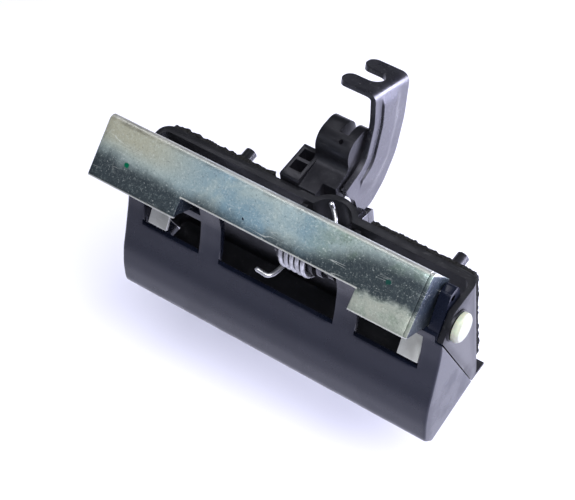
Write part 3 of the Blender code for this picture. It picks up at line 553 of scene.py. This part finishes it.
def smooth_through(knots, steps):
    """Curve through knots: between two of them a cubic whose end speeds are half the step between the
    knots on either side."""
    speed = np.gradient(knots, axis=0)
    part = np.linspace(0, 1, steps, endpoint=False)[None, :, None]
    start, end = knots[:-1, None], knots[1:, None]
    leave, reach = speed[:-1, None], speed[1:, None]
    curve = ((2 * part**3 - 3 * part**2 + 1) * start + (part**3 - 2 * part**2 + part) * leave
             + (3 * part**2 - 2 * part**3) * end + (part**3 - part**2) * reach)
    return np.concatenate([curve.reshape(-1, 3), knots[-1:]])


def stops(*bounds, step):
    """Places from the first bound to the last that pass through every bound, about a step apart."""
    runs = [np.linspace(a, b, max(1, round(abs(b - a) / step)) + 1)[:-1] for a, b in zip(bounds, bounds[1:])]
    return np.concatenate([*runs, bounds[-1:]])


def eased(value, start, full):
    """0 up to start, 1 from full, and between them three times the square less twice the cube."""
    part = np.clip((value - start) / (full - start), 0, 1)
    return part * part * (3 - 2 * part)


def tube(path, radius, sides=20):
    """A wire: a circle carried along the path in planes that turn with it without twisting, with rounded
    ends where the circle shrinks to a point as a half ball does."""
    steps = np.gradient(path, axis=0)
    ahead = steps / np.linalg.norm(steps, axis=1)[:, None]
    side = np.empty_like(path)
    side[0] = np.cross(ahead[0], (0.31, 0.52, 0.79))
    side[0] /= np.linalg.norm(side[0])
    for index in range(1, len(path)):
        turned = side[index - 1] - ahead[index] * (side[index - 1] @ ahead[index])
        side[index] = turned / np.linalg.norm(turned)
    up = np.cross(ahead, side)
    angle = np.linspace(0, 2 * math.pi, sides, endpoint=False)
    ring = np.cos(angle)[None, :, None] * side[:, None] + np.sin(angle)[None, :, None] * up[:, None]
    body = path[:, None] + radius * ring
    roll = np.radians([80.0, 60.0, 40.0, 20.0])
    first = np.stack([path[0] - ahead[0] * radius * math.sin(a) + ring[0] * radius * math.cos(a)
                      for a in roll])
    last = np.stack([path[-1] + ahead[-1] * radius * math.sin(a) + ring[-1] * radius * math.cos(a)
                     for a in roll[::-1]])
    rows = np.concatenate([first, body, last])
    points = rows.reshape(-1, 3)
    faces = [list(quad[::-1]) for quad in grid_faces(len(rows), sides, around=True)]
    faces.append(list(range(sides)))
    faces.append(list(range(len(points) - sides, len(points)))[::-1])
    return points, faces


def carried(outline, low, high):
    """A closed outline carried along X from low to high, with both ends closed."""
    count = len(outline)
    points = np.concatenate([np.column_stack([np.full(count, x), outline]) for x in (low, high)])
    faces = [list(quad) for quad in grid_faces(2, count, around=True)]
    return points, faces + [list(range(count)), list(range(count, 2 * count))]


# Pieces


def add_piece(name, points, faces, finish, body, stands_for=(), edge=0.0, wall=0.0, angle=32):
    """A new piece from points in millimetres from the pivot axis, with a wall put inside its surface if
    asked; it rides on its body and hides the fixed parts that it stands for."""
    mesh = bpy.data.meshes.new(name)
    mesh.from_pydata(world(points).tolist(), [], [list(map(int, face)) for face in faces])
    shape = bmesh.new()
    shape.from_mesh(mesh)
    bmesh.ops.remove_doubles(shape, verts=shape.verts, dist=1e-6)
    if not wall:
        bmesh.ops.recalc_face_normals(shape, faces=shape.faces)
    bpy.data.meshes.remove(mesh)
    return finish_piece(mesh_of(name, shape), finish, body, stands_for, edge, wall, angle)


def node_copy(node):
    """A fixed part's triangles as an editable shape, with the points that they share merged."""
    shape = bmesh.new()
    shape.from_mesh(FRAME["nodes"][node].data)
    bmesh.ops.remove_doubles(shape, verts=shape.verts, dist=2e-6)
    bmesh.ops.dissolve_limit(shape, angle_limit=math.radians(1), verts=shape.verts, edges=shape.edges)
    return shape


def keep_side(shape, point, normal):
    """Cuts a shape by a plane through a point, drops what the normal points at and closes the cut."""
    bmesh.ops.bisect_plane(shape, geom=[*shape.verts, *shape.edges, *shape.faces], plane_co=world(point),
                           plane_no=normal, clear_outer=True)
    bmesh.ops.holes_fill(shape, edges=[edge for edge in shape.edges if edge.is_boundary])
    bmesh.ops.recalc_face_normals(shape, faces=shape.faces)


def mesh_of(name, shape):
    """An editable shape turned into a mesh that is shaded smooth."""
    mesh = bpy.data.meshes.new(name)
    shape.to_mesh(mesh)
    shape.free()
    mesh.shade_smooth()
    return mesh


def finish_piece(mesh, finish, body, stands_for=(), edge=0.0, wall=0.0, angle=32):
    """An object of a mesh with its wall, rounded edges and finish, riding on its body."""
    name = mesh.name
    made = bpy.data.objects.new(name, mesh)
    bpy.context.scene.collection.objects.link(made)
    mesh.materials.append(material(finish))
    if wall:
        solid = made.modifiers.new("Wall", "SOLIDIFY")
        solid.thickness = wall * MM
        solid.offset = -1.0
        solid.use_even_offset = True
        solid.use_quality_normals = True
    round_edges(made, edge, angle=angle)
    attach(made, body)
    if stands_for:
        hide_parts(*stands_for)
    return made


class HandleOperator(bpy.types.Operator):
    """What the build steps share."""

    bl_options = {"REGISTER", "UNDO"}

    def execute(self, context):
        self.build(context)
        return {"FINISHED"}


# Return spring: where the coil starts along X, the angles at which it enters and leaves, and its legs

COIL_START, COIL_ENTERS, COIL_LEAVES, COIL_TURNS = -0.5, 262, 350, 5
LOWER_LEG = ((-8.6, -16.4, -8.6), (-6.1, -16.4, -9.1), (-3.6, -16.35, -9.5), (-2.1, -15.3, -9.7),
             (-1.3, -12.9, -10.1), (-0.8, -8.4, -10.6))
UPPER_LEG = ((15.2, 12.4, 1.2), (13.6, 16.2, 4.2), (11.6, 18.9, 7.2), (9.9, 20.1, 9.6), (9.2, 20.2, 11.6))


class HANDLE_OT_spring(HandleOperator):
    """Wind the return spring with its two legs"""

    bl_idname = "handle.spring"
    bl_label = "Return Spring"

    def build(self, context):
        sizes = context.scene.handle_sizes
        points, faces = tube(self.route(sizes), sizes.wire / MM)
        add_piece("spring_coil", points, faces, "wire", "base", ("return_spring",))

    def route(self, sizes):
        """A helix round the pivot axis, with a smooth leg at each end that meets it in a curve whose speed
        follows its neighbours."""
        radius, pitch = sizes.coil / MM, sizes.pitch / MM
        turned_by = np.arange(0, 360 * COIL_TURNS + COIL_LEAVES - COIL_ENTERS + 0.1, 6.0)
        angle = np.radians(COIL_ENTERS + turned_by)
        coil = np.stack([COIL_START + pitch * turned_by / 360, radius * np.cos(angle),
                         radius * np.sin(angle)], axis=1)
        return smooth_through(np.concatenate([LOWER_LEG, coil[::4], UPPER_LEG]), 5)


# Release lever

FORK_NEAR, FORK_FAR = np.array((59.1, 48.3)), np.array((86.6, 36.6))
SLOT_CENTRE, SLOT_END, TIP_ROUND = -0.4, 5.0, 4.0
ARM_FACE, ROOT_FACE, JOGGLE_FACE = 10.0, 22.0, 36.8
HUB_CUT = 30.0
ARM_ROWS = 46
ARM_FRONT = ((38.0, -9.0), (38.0, 10.4), (47.0, 12.0), (56.4, 30.2), (58.41, 43.70))
FOOT = ((37.6, -9.1), (36.5, -3.0), (32.4, 3.5), (30.6, 9.1))
FOOT_END = 38.3
ARM_BACK = ((38.0, -15.8), (48.0, -18.5), (60.0, -13.0), (71.2, -3.0), (80.0, 14.0), (85.33, 32.25))


def lever_across():
    """Shares of the lever's width at which its columns stand, closer together on the channel's sides."""
    return np.unique(np.concatenate([np.linspace(0, 0.165, 6), np.linspace(0.175, 0.225, 7),
                                     np.linspace(0.24, 0.50, 12), np.linspace(0.50, 0.80, 16),
                                     np.linspace(0.80, 1.0, 7)]))


def arm_front(count):
    """The arm's front edge, from the joggle up to the fold."""
    return evenly(bent_path(ARM_FRONT, (0.05, 12.0, 24.0)), count)


def lever_foot(count):
    """The arm's foot, which reaches forward to the seal: straight lines from its own curved outline back to
    the arm's front edge."""
    edge = arm_front(count)
    edge = edge[:np.argmax(edge[:, 0] > FOOT_END) + 1]
    outline = evenly(bent_path(FOOT, (8.0, 8.0)), len(edge))
    part = np.linspace(0, 1, 6)[None, :, None]
    flat = outline[:, None] + (edge - outline)[:, None] * part
    points = np.concatenate([np.full(flat.shape[:2] + (1,), ARM_FACE), flat], axis=-1)
    return points.reshape(-1, 3), grid_faces(len(edge), 6)


def lever_half(sizes, which):
    """One half of the lever's outer face, front or back. Rows run from the root over the sideways joggle, up
    the arm, round the fold and out along the fork, and each row is a straight line from the front edge to the
    back edge, raised on the arm by a pressed channel. In the fork each half keeps off the middle line by the
    slot's half width, an ellipse at its end, and both its edges draw in by a quarter circle at the tip."""
    share = lever_across()
    share = share[share <= 0.5] if which == "front" else share[share >= 0.5]
    bend = sizes.fold / MM
    plan = bent_path(((ROOT_FACE, HUB_CUT), (ROOT_FACE, JOGGLE_FACE), (ARM_FACE, JOGGLE_FACE),
                      (ARM_FACE, 42.0)), (3.6, 1.2), 6)[:-1]
    part = np.linspace(0, 1, len(plan))[:, None]
    root_front = np.column_stack([plan[:, 1], (2.3 - 11.3 * eased(part, 0.0, 0.75))[:, 0]])
    root_back = np.column_stack([plan[:, 1], (-13.65 - 2.2 * part)[:, 0]])
    front = arm_front(ARM_ROWS)
    back = evenly(bent_path(ARM_BACK, (11.0, 18.0, 26.0, 34.0)), ARM_ROWS)
    turn = np.radians(np.linspace(0, 90, 10))[1:, None]
    fold_front = front[-1] + (FORK_NEAR - front[-1]) * np.sin(turn)
    fold_back = back[-1] + (FORK_FAR - back[-1]) * np.sin(turn)
    fold_x = ARM_FACE - bend * (1 - np.cos(turn[:, 0]))
    tip = ARM_FACE - sizes.fork / MM
    half = sizes.slot / MM / 2
    roll = np.radians(np.linspace(90, 0, 12))
    ease = np.radians(np.linspace(0, 90, 9))
    fork_x = np.concatenate([SLOT_CENTRE + (SLOT_END - SLOT_CENTRE) * np.sin(roll),
                             np.linspace(SLOT_CENTRE, tip + TIP_ROUND, 7)[1:-1],
                             tip + TIP_ROUND * (1 - np.sin(ease))])
    near, far = (np.broadcast_to(corner, (len(fork_x), 2)) for corner in (FORK_NEAR, FORK_FAR))
    rows_x = np.concatenate([plan[:, 0], np.full(ARM_ROWS - 1, ARM_FACE), fold_x, fork_x])
    rows_front = np.concatenate([root_front, front[1:], fold_front, near])
    rows_back = np.concatenate([root_back, back[1:], fold_back, far])
    wide = np.linalg.norm(rows_back - rows_front, axis=1)
    on_arm = np.zeros(len(rows_x))
    step = np.arange(ARM_ROWS - 1)
    on_arm[len(plan):len(plan) + len(step)] = eased(step, 8, 15) * eased(-step, 1 - ARM_ROWS, 5 - ARM_ROWS)
    ellipse = np.sqrt(np.clip(1 - ((rows_x - SLOT_CENTRE) / (SLOT_END - SLOT_CENTRE)) ** 2, 0, 1))
    inner = np.where(rows_x < SLOT_CENTRE, half, half * ellipse)
    in_fork = (rows_x < SLOT_END) & (np.arange(len(rows_x)) >= len(rows_x) - len(fork_x))
    inner = np.where(in_fork, inner, 0.0) / wide
    depth = np.clip(TIP_ROUND - (rows_x - tip), 0, TIP_ROUND)
    draw = (TIP_ROUND - np.sqrt(np.clip(TIP_ROUND**2 - depth**2, 0, None))) / wide
    if which == "front":
        low, high = draw, 0.5 - inner - draw
        spread = share / 0.5
    else:
        low, high = 0.5 + inner + draw, 1 - draw
        spread = (share - 0.5) / 0.5
    at = low[:, None] + (high - low)[:, None] * spread[None, :]
    flat = rows_front[:, None] + (rows_back - rows_front)[:, None] * at[..., None]
    crown = eased(share, 0.175, 0.220) * (1 - eased(share, 0.58, 0.80)) * (1 + 0.12 * np.sin(math.pi * share))
    rise = on_arm[:, None] * crown[None, :] * sizes.channel / MM
    points = np.concatenate([(rows_x[:, None] + rise)[..., None], flat], axis=-1)
    return points.reshape(-1, 3), grid_faces(len(rows_x), len(share))


class HANDLE_OT_lever(HandleOperator):
    """Form the release lever: its hub, sideways joggle, channelled arm and folded fork"""

    bl_idname = "handle.lever"
    bl_label = "Release Lever"

    def build(self, context):
        front, front_faces = lever_half(context.scene.handle_sizes, "front")
        back, back_faces = lever_half(context.scene.handle_sizes, "back")
        foot, foot_faces = lever_foot(ARM_ROWS)
        points = np.concatenate([front, back, foot])
        faces = np.concatenate([front_faces, back_faces + len(front), foot_faces + len(front) + len(back)])
        add_piece("lever_arm", points, faces, "coated", "lever", ("release_lever",), edge=0.45, wall=2.8)
        hub = node_copy("release_lever")
        keep_side(hub, (0, HUB_CUT, 0), (0, 1, 0))
        finish_piece(mesh_of("lever_hub", hub), "coated", "lever", ("release_lever",), edge=0.3)


# Paddle

FACE_POINTS = ((-10.6, 14.0), (-10.8, -1.5), (-14.2, -13.0), (-20.9, -29.5), (-24.5, -37.4), (-27.1, -47.0),
               (-28.4, -59.6), (-23.4, -65.9))
SEAM_START, SEAM_END = (-11.15, -2.7), (12.0, -61.36)
SHELL_TOP, TURN_START, FREE_EDGE = 14.0, -56.0, -65.9
WINDOW_LOW, SIDE_WINDOW_HIGH, MIDDLE_WINDOW_HIGH, SIDE_TOP = -20.5, -2.5, 10.2, 1.5
SIDE_WINDOW, MIDDLE_WINDOW, END_FRAME = (44.0, 78.0), 32.5, 3.9
EAR = ((-9.6, 0.8, 0), (-4.5, 7.8, 4.0), (2.0, 17.0, 2.0), (8.5, 17.0, 2.6), (9.6, 0.0, 6.4),
       (0.0, -10.0, 4.0), (-13.0, -30.0, 2.6), (-20.0, -30.0, 0), (-11.9, -10.0, 0))
EAR_BORE = 4.08


def face_line():
    """The face's line from its top edge to its free edge: arcs and straights, averaged over a sliding window
    so that its bend changes slowly."""
    line = evenly(bent_path(FACE_POINTS, (12.0,) * 5 + (4.5,)), 401)
    weight = np.hanning(45)
    weight /= weight.sum()
    ends = np.concatenate([2 * line[0] - line[22:0:-1], line, 2 * line[-1] - line[-2:-24:-1]])
    return np.stack([np.convolve(ends[:, axis], weight, mode="valid") for axis in (0, 1)], axis=1)


def paddle_shell():
    """Outer face of the paddle. Rows go down the face line; columns start on the left joint, cross the left
    end, turn the corner by a small arc, run along the face and do the same on the right. On an end a point
    goes in a straight line from the face line to the joint, by its share of the way down. The windows' cells
    and those beyond the joint and above the side frames are left out."""
    half, corner = PADDLE_HALF, 1.3
    inner, outer = SIDE_WINDOW
    line = face_line()
    down = np.concatenate([
        stops(SHELL_TOP, MIDDLE_WINDOW_HIGH, SIDE_TOP, SIDE_WINDOW_HIGH, SEAM_START[1], WINDOW_LOW,
              TURN_START, step=1.6), np.linspace(TURN_START, FREE_EDGE, 14)[1:],
    ])
    out = np.interp(-down, -line[:, 1], line[:, 0])
    face = np.stack([out, down], axis=1)
    part = np.clip((SEAM_START[1] - down) / (SEAM_START[1] - FREE_EDGE), 0, 1)[:, None]
    joint = np.array(SEAM_START) + (np.array(SEAM_END) - SEAM_START) * part
    reach = np.linalg.norm(joint - face, axis=1)
    into = (joint - face) / np.maximum(reach, 0.001)[:, None]
    radius = np.minimum(corner, 0.45 * reach)
    flat = stops(-half + END_FRAME, -outer, -inner, -MIDDLE_WINDOW, MIDDLE_WINDOW, inner, outer,
                 half - END_FRAME, step=4.0)
    edge = np.linspace(half - END_FRAME, half - corner, 3)[1:]
    roll = np.radians(np.linspace(0, 90, 7))[1:]
    deep = np.linspace(0, 1, 8)[1:]
    side_x = np.concatenate([np.broadcast_to(edge, (len(down), 2)),
                             (half - radius[:, None]) + radius[:, None] * np.sin(roll),
                             np.full((len(down), len(deep)), half)], axis=1)
    side_in = np.concatenate([np.zeros((len(down), 2)), radius[:, None] * (1 - np.cos(roll)),
                              radius[:, None] + (reach - radius)[:, None] * deep], axis=1)
    side_flat = face[:, None] + into[:, None] * side_in[..., None]
    right = np.concatenate([side_x[..., None], side_flat], axis=-1)
    middle = np.concatenate([np.broadcast_to(flat, (len(down), len(flat)))[..., None],
                             np.broadcast_to(face[:, None], (len(down), len(flat), 2))], axis=-1)
    left = right[:, ::-1] * np.array((-1, 1, 1))
    points = np.concatenate([left, middle, right], axis=1)
    across = np.abs(np.concatenate([np.full(left.shape[1], half), flat, np.full(right.shape[1], half)]))
    row_low, row_high = down[1:, None], down[:-1, None]
    col_low = np.minimum(across[1:], across[:-1])[None, :]
    col_high = np.maximum(across[1:], across[:-1])[None, :]
    close = 0.01
    above_sill, beside = row_low >= WINDOW_LOW - close, col_low >= inner - close
    gone = (row_high <= SIDE_WINDOW_HIGH + close) & above_sill & beside & (col_high <= outer + close)
    gone |= (row_high <= MIDDLE_WINDOW_HIGH + close) & above_sill & (col_high <= MIDDLE_WINDOW + close)
    gone |= (row_low >= SIDE_TOP - close) & beside
    gone |= (row_low >= SEAM_START[1] - close) & (col_high > half - END_FRAME + close)
    faces = grid_faces(len(down), points.shape[1], kept=~gone)[:, ::-1]
    return points.reshape(-1, 3), faces


def ear_ring(low, high):
    """An ear of the paddle: round the pin the hole and the outline, on both faces, joined to a ring."""
    outline = closed_outline(EAR)
    hole = outline / np.linalg.norm(outline, axis=1)[:, None] * EAR_BORE
    rows = [np.column_stack([np.full(len(outline), x), ring])
            for x, ring in ((low, hole), (low, outline), (high, outline), (high, hole), (low, hole))]
    return np.concatenate(rows), grid_faces(5, len(outline), around=True)


class HANDLE_OT_paddle(HandleOperator):
    """Form the paddle: its curved shell with three windows, its two ears and the lever's tongue"""

    bl_idname = "handle.paddle"
    bl_label = "Paddle"

    def build(self, context):
        points, faces = paddle_shell()
        add_piece("paddle_shell", points, faces, "paddle", "handle", ("paddle",), edge=0.4, wall=3.0)
        for name, low, high in (("left", -84.6, -79.1), ("right", 79.1, 84.6)):
            points, faces = ear_ring(low, high)
            add_piece(f"paddle_ear_{name}", points, faces, "paddle", "handle", ("paddle",), edge=0.5)
        tongue = np.array(((-9.1, 10.5), (-3.6, 10.5), (-3.6, 13.5), (-9.1, 13.5)))
        points, faces = carried(tongue, 19.2, 22.0)
        add_piece("paddle_tongue", points, faces, "paddle", "handle", ("paddle",), edge=0.4)


# Balance weight

SLOPE, UNDER = np.array((0.7675, 0.6412)), np.array((0.6412, -0.7675))
SLOPE_START = 0.0023
WEIGHT_FRONT, WEIGHT_CREST = np.array((-24.8, 12.2)), np.array((-0.5, 32.5))
WEIGHT_BACK = np.array((10.6, 14.6))
WEIGHT_HEEL, LEG_TIP = np.array((-5.9, 1.1)), np.array((-14.7, -19.0))
WEIGHT_LEFT, WEIGHT_RIGHT, PLATE = -98.4, 78.5, 2.0
CREST_RADIUS, NOTCH_DEPTH, NOTCH_HALF = 3.2, 9.9, 47.8


def weight_sheet():
    """Outer face of the folded plate. Rows go from its front edge up the slope, round the crest by an arc and
    down the back; columns go along X. The front notch's cells and the back of the left overhang are left
    out."""
    rise = np.linalg.norm(WEIGHT_CREST - WEIGHT_FRONT)
    bent = bent_path((WEIGHT_FRONT, WEIGHT_CREST, WEIGHT_BACK), (CREST_RADIUS,), 8)
    start = np.linalg.norm(bent[1] - WEIGHT_FRONT)
    up = stops(0.0, NOTCH_DEPTH, start, step=3.0)[:-1]
    down = np.linspace(0, 1, 6)[1:, None]
    line = np.concatenate([WEIGHT_FRONT + (WEIGHT_CREST - WEIGHT_FRONT) * up[:, None] / rise, bent[1:-1],
                           bent[-2] + (bent[-1] - bent[-2]) * down])
    along = stops(WEIGHT_LEFT, -WEIGHT_RIGHT, -NOTCH_HALF, NOTCH_HALF, WEIGHT_RIGHT - PLATE, step=4.0)
    points = np.concatenate([np.broadcast_to(along, (len(line), len(along)))[..., None],
                             np.broadcast_to(line[:, None], (len(line), len(along), 2))], axis=-1)
    row = np.arange(len(line) - 1)[:, None]
    low, high = along[:-1][None, :], along[1:][None, :]
    notch = np.searchsorted(up, NOTCH_DEPTH - 0.01)
    gone = (row < notch) & (low >= -NOTCH_HALF - 0.1) & (high <= NOTCH_HALF + 0.1)
    gone |= (row >= len(up) + len(bent) - 2) & (high <= -WEIGHT_RIGHT + 0.1)
    return points.reshape(-1, 3), grid_faces(len(line), len(along), kept=~gone)


class HANDLE_OT_weight(HandleOperator):
    """Fold the balance weight: its plate, end flanges, notch gussets and two legs"""

    bl_idname = "handle.weight"
    bl_label = "Balance Weight"

    def build(self, context):
        stands_for = ("balance_weight",)
        points, faces = weight_sheet()
        add_piece("weight_plate", points, faces, "zinc", "handle", stands_for, edge=0.35, wall=PLATE)
        flange = ((*WEIGHT_FRONT, 0.6), (*WEIGHT_CREST, CREST_RADIUS), (*WEIGHT_BACK, 0.8),
                  (*WEIGHT_HEEL, 1.0))
        in_crest, in_back = WEIGHT_CREST + UNDER - SLOPE * 1.6, WEIGHT_BACK - (0.65, 0.56)
        in_front = WEIGHT_FRONT + UNDER * 1.2 + SLOPE
        web = [(*point, 0.8) for point in (in_crest - SLOPE * 11, in_crest, in_back, in_back - SLOPE * 11)]
        gusset = [(*point, 0.4) for point in (in_front, in_front + SLOPE * 11, WEIGHT_HEEL)]
        along = (WEIGHT_BACK - LEG_TIP) / np.linalg.norm(WEIGHT_BACK - LEG_TIP)
        out = np.array((-along[1], along[0])) * PLATE
        top = WEIGHT_BACK - along * 0.4
        leg = [(*point, 0.4) for point in (LEG_TIP, top, top + out, LEG_TIP + out)]
        for name, outline, low, high in (
            ("flange_right", flange, WEIGHT_RIGHT - PLATE, WEIGHT_RIGHT),
            ("flange_left", web, -WEIGHT_RIGHT + 0.3, -WEIGHT_RIGHT + PLATE),
            ("gusset_left", gusset, -50.1, -48.1), ("gusset_right", gusset, 48.1, 50.1),
            ("leg_left", leg, -74.7, -63.9), ("leg_right", leg, 66.7, 77.5),
        ):
            points, faces = carried(closed_outline(outline, 5), low, high)
            add_piece(f"weight_{name}", points, faces, "zinc", "handle", stands_for, edge=0.3)


# Sizes, colours, fixed parts and stage

FOCAL_PIXELS, PHOTO_WIDTH = 1731.2, 575.0


def length(name, description, default):
    """A length in metres."""
    return FloatProperty(name=name, description=description, default=default, unit="LENGTH",
                         subtype="DISTANCE", precision=4)


def colour(name, description, default):
    """A linear colour."""
    return FloatVectorProperty(name=name, description=description, default=default, subtype="COLOR",
                               min=0.0, max=1.0)


class HandleSizes(bpy.types.PropertyGroup):
    """Sizes of the finer surfaces."""

    wire: length("Wire radius", "Radius of the return spring's wire", 0.0012)
    coil: length("Coil radius", "Radius of the return spring's coil, to the middle of its wire", 0.0108)
    pitch: length("Coil pitch", "Step of the return spring's coil for each turn", 0.0030)
    fold: length("Fold radius", "Outer radius of the fold between the lever's arm and its fork", 0.0045)
    fork: length("Fork length", "How far the fork reaches from the arm's outer face", 0.0205)
    slot: length("Fork slot", "Width of the fork's slot", 0.0110)
    channel: length("Channel height", "How far the arm's pressed channel stands proud", 0.0011)


class HandleColours(bpy.types.PropertyGroup):
    """Colours of the finishes."""

    housing: colour("Housing", "Moulded housing plastic", (0.0045, 0.0047, 0.0060))
    paddle: colour("Paddle", "Smooth paddle plastic", (0.0035, 0.0048, 0.0110))
    clip: colour("Cable clip", "Cable clip plastic", (0.0040, 0.0040, 0.0055))
    zinc: colour("Zinc", "Zinc plating where it is bright", (0.40, 0.48, 0.49))
    # Colour of the painted dark reflection on the zinc plate.
    zinc_painted_dark: colour("Painted dark reflection on zinc", "Zinc plating in its darker clouds", (0.028, 0.037, 0.048))
    coated: colour("Coated steel", "Black coating of the lever", (0.0055, 0.0055, 0.0080))
    foam: colour("Foam", "Seal foam", (0.010, 0.010, 0.011))
    wire: colour("Spring wire", "Return spring", (0.50, 0.50, 0.53))
    steel: colour("Plain steel", "Rivets, shaft and clips", (0.50, 0.50, 0.50))
    nylon: colour("Nylon", "End pins and bush", (0.27, 0.275, 0.245))


class HANDLE_OT_fixed_parts(HandleOperator):
    """Give the fixed parts their finishes and soft edges"""

    bl_idname = "handle.fixed_parts"
    bl_label = "Fixed Parts"

    def build(self, context):
        for node, finish, edge in (
            ("housing", "housing", 0.5), ("seal", "foam", 0),
            ("weight_rivet_left", "steel", 0), ("weight_rivet_right", "steel", 0),
            ("end_pin_left", "nylon", 0.3), ("end_pin_right", "nylon", 0.3),
            ("centre_shaft", "steel", 0), ("shaft_clip_left", "steel", 0), ("shaft_clip_right", "steel", 0),
            ("spring_sleeve", "housing", 0), ("lever_bush", "nylon", 0), ("cable_clip", "clip", 0.9),
        ):
            dress_node(node, finish, edge)
        self.tear(FRAME["nodes"]["seal"])

    def tear(self, seal):
        """Rebuilds the seal as an even net of faces and pushes it in and out by a cloud pattern, so that its
        cut edges are ragged."""
        net = seal.modifiers.new("Even net", "REMESH")
        net.mode = "VOXEL"
        net.voxel_size = 0.0009
        rough = bpy.data.textures.new("Torn foam", "CLOUDS")
        rough.noise_scale = 0.0022
        push = seal.modifiers.new("Torn edges", "DISPLACE")
        push.texture = rough
        push.strength = 0.0022
        push.mid_level = 0.55
        push.texture_coords = "LOCAL"


def area_light(name, place_at, target, size, power, tint):
    """A soft rectangular light at a place, turned towards a target."""
    data = bpy.data.lights.new(name, "AREA")
    data.shape = "RECTANGLE"
    data.size, data.size_y = size
    data.energy = power
    data.color = tint
    lamp = bpy.data.objects.new(name, data)
    bpy.context.scene.collection.objects.link(lamp)
    lamp.location = place_at
    lamp.rotation_euler = (Vector(target) - Vector(place_at)).to_track_quat("-Z", "Y").to_euler()


class HANDLE_OT_stage(HandleOperator):
    """Make the pale floor, the soft lights and the camera"""

    bl_idname = "handle.stage"
    bl_label = "Stage"

    def build(self, context):
        scene = context.scene
        low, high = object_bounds()
        floor_mesh = bpy.data.meshes.new("floor")
        half, level = 3.0, low.z - 0.10
        floor_mesh.from_pydata([(-half, -half, level), (half, -half, level), (half, half, level),
                                (-half, half, level)], [], [(0, 1, 2, 3)])
        floor = bpy.data.objects.new("floor", floor_mesh)
        scene.collection.objects.link(floor)
        pale, _, _ = new_material("Pale floor", (0.84, 0.84, 0.98), 0.9)
        floor_mesh.materials.append(pale)
        floor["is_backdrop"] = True
        scene.view_settings.view_transform = "Standard"
        world_made = bpy.data.worlds.new("Studio")
        world_made.use_nodes = True
        backdrop = world_made.node_tree.nodes["Background"]
        backdrop.inputs["Color"].default_value = (0.85, 0.9, 1.0, 1.0)
        backdrop.inputs["Strength"].default_value = 0.12
        scene.world = world_made
        middle = (low + high) / 2
        for name, place_at, size, power, tint in (
            ("Key light", (0.45, -0.30, 1.00), (0.7, 0.7), 25.0, (1.0, 1.0, 1.0)),
            ("Front soft box", (-0.40, -0.70, 0.58), (0.7, 0.4), 0.9, (0.92, 0.98, 1.0)),
            ("Right light", (0.50, 0.38, -0.02), (0.5, 0.16), 9.0, (0.84, 0.84, 1.0)),
            ("Back light", (-0.35, 0.45, 0.80), (0.30, 0.30), 0.9, (1.0, 1.0, 1.0)),
        ):
            area_light(name, middle + Vector(place_at), middle, size, power, tint)
        self.camera(scene)

    def camera(self, scene):
        """Camera at the photo's place, worked out from the part's own edges."""
        forward = Vector((-0.4061, 0.4501, -0.7953)).normalized()
        up = Vector((-0.4172, 0.6830, 0.5995))
        right = forward.cross(up).normalized()
        up = right.cross(forward)
        data = bpy.data.cameras.new("Camera")
        data.sensor_width = 36.0
        data.lens = data.sensor_width * FOCAL_PIXELS / PHOTO_WIDTH
        made = bpy.data.objects.new("Camera", data)
        scene.collection.objects.link(made)
        turn = Matrix((right, up, -forward)).transposed().to_4x4()
        turn.translation = Vector((0.3208, -0.3592, 0.6257)) + HINGE
        made.matrix_world = turn
        scene.camera = made


STEPS = (HANDLE_OT_fixed_parts, HANDLE_OT_paddle, HANDLE_OT_weight, HANDLE_OT_lever, HANDLE_OT_spring,
         HANDLE_OT_stage)


class HANDLE_PT_panel(bpy.types.Panel):
    """Sizes, colours and build steps of the handle."""

    bl_label = "Tailgate Handle"
    bl_idname = "HANDLE_PT_panel"
    bl_space_type = "VIEW_3D"
    bl_region_type = "UI"
    bl_category = "Handle"

    def draw(self, context):
        for settings in (context.scene.handle_sizes, context.scene.handle_colours):
            for name in settings.bl_rna.properties.keys():
                if name not in ("rna_type", "name"):
                    self.layout.prop(settings, name)
        for step in STEPS:
            self.layout.operator(step.bl_idname)


CLASSES = (HandleSizes, HandleColours, *STEPS, HANDLE_PT_panel)


def register():
    """Adds the sizes, colours, steps and panel."""
    for made in CLASSES:
        bpy.utils.register_class(made)
    bpy.types.Scene.handle_sizes = PointerProperty(type=HandleSizes)
    bpy.types.Scene.handle_colours = PointerProperty(type=HandleColours)


def unregister():
    """Takes them away again."""
    del bpy.types.Scene.handle_colours
    del bpy.types.Scene.handle_sizes
    for made in reversed(CLASSES):
        bpy.utils.unregister_class(made)


def main():
    """Runs the steps in order."""
    register()
    bpy.ops.handle.fixed_parts()
    bpy.ops.handle.paddle()
    bpy.ops.handle.weight()
    bpy.ops.handle.lever()
    bpy.ops.handle.spring()
    bpy.ops.handle.stage()


if __name__ == "__main__":
    main()
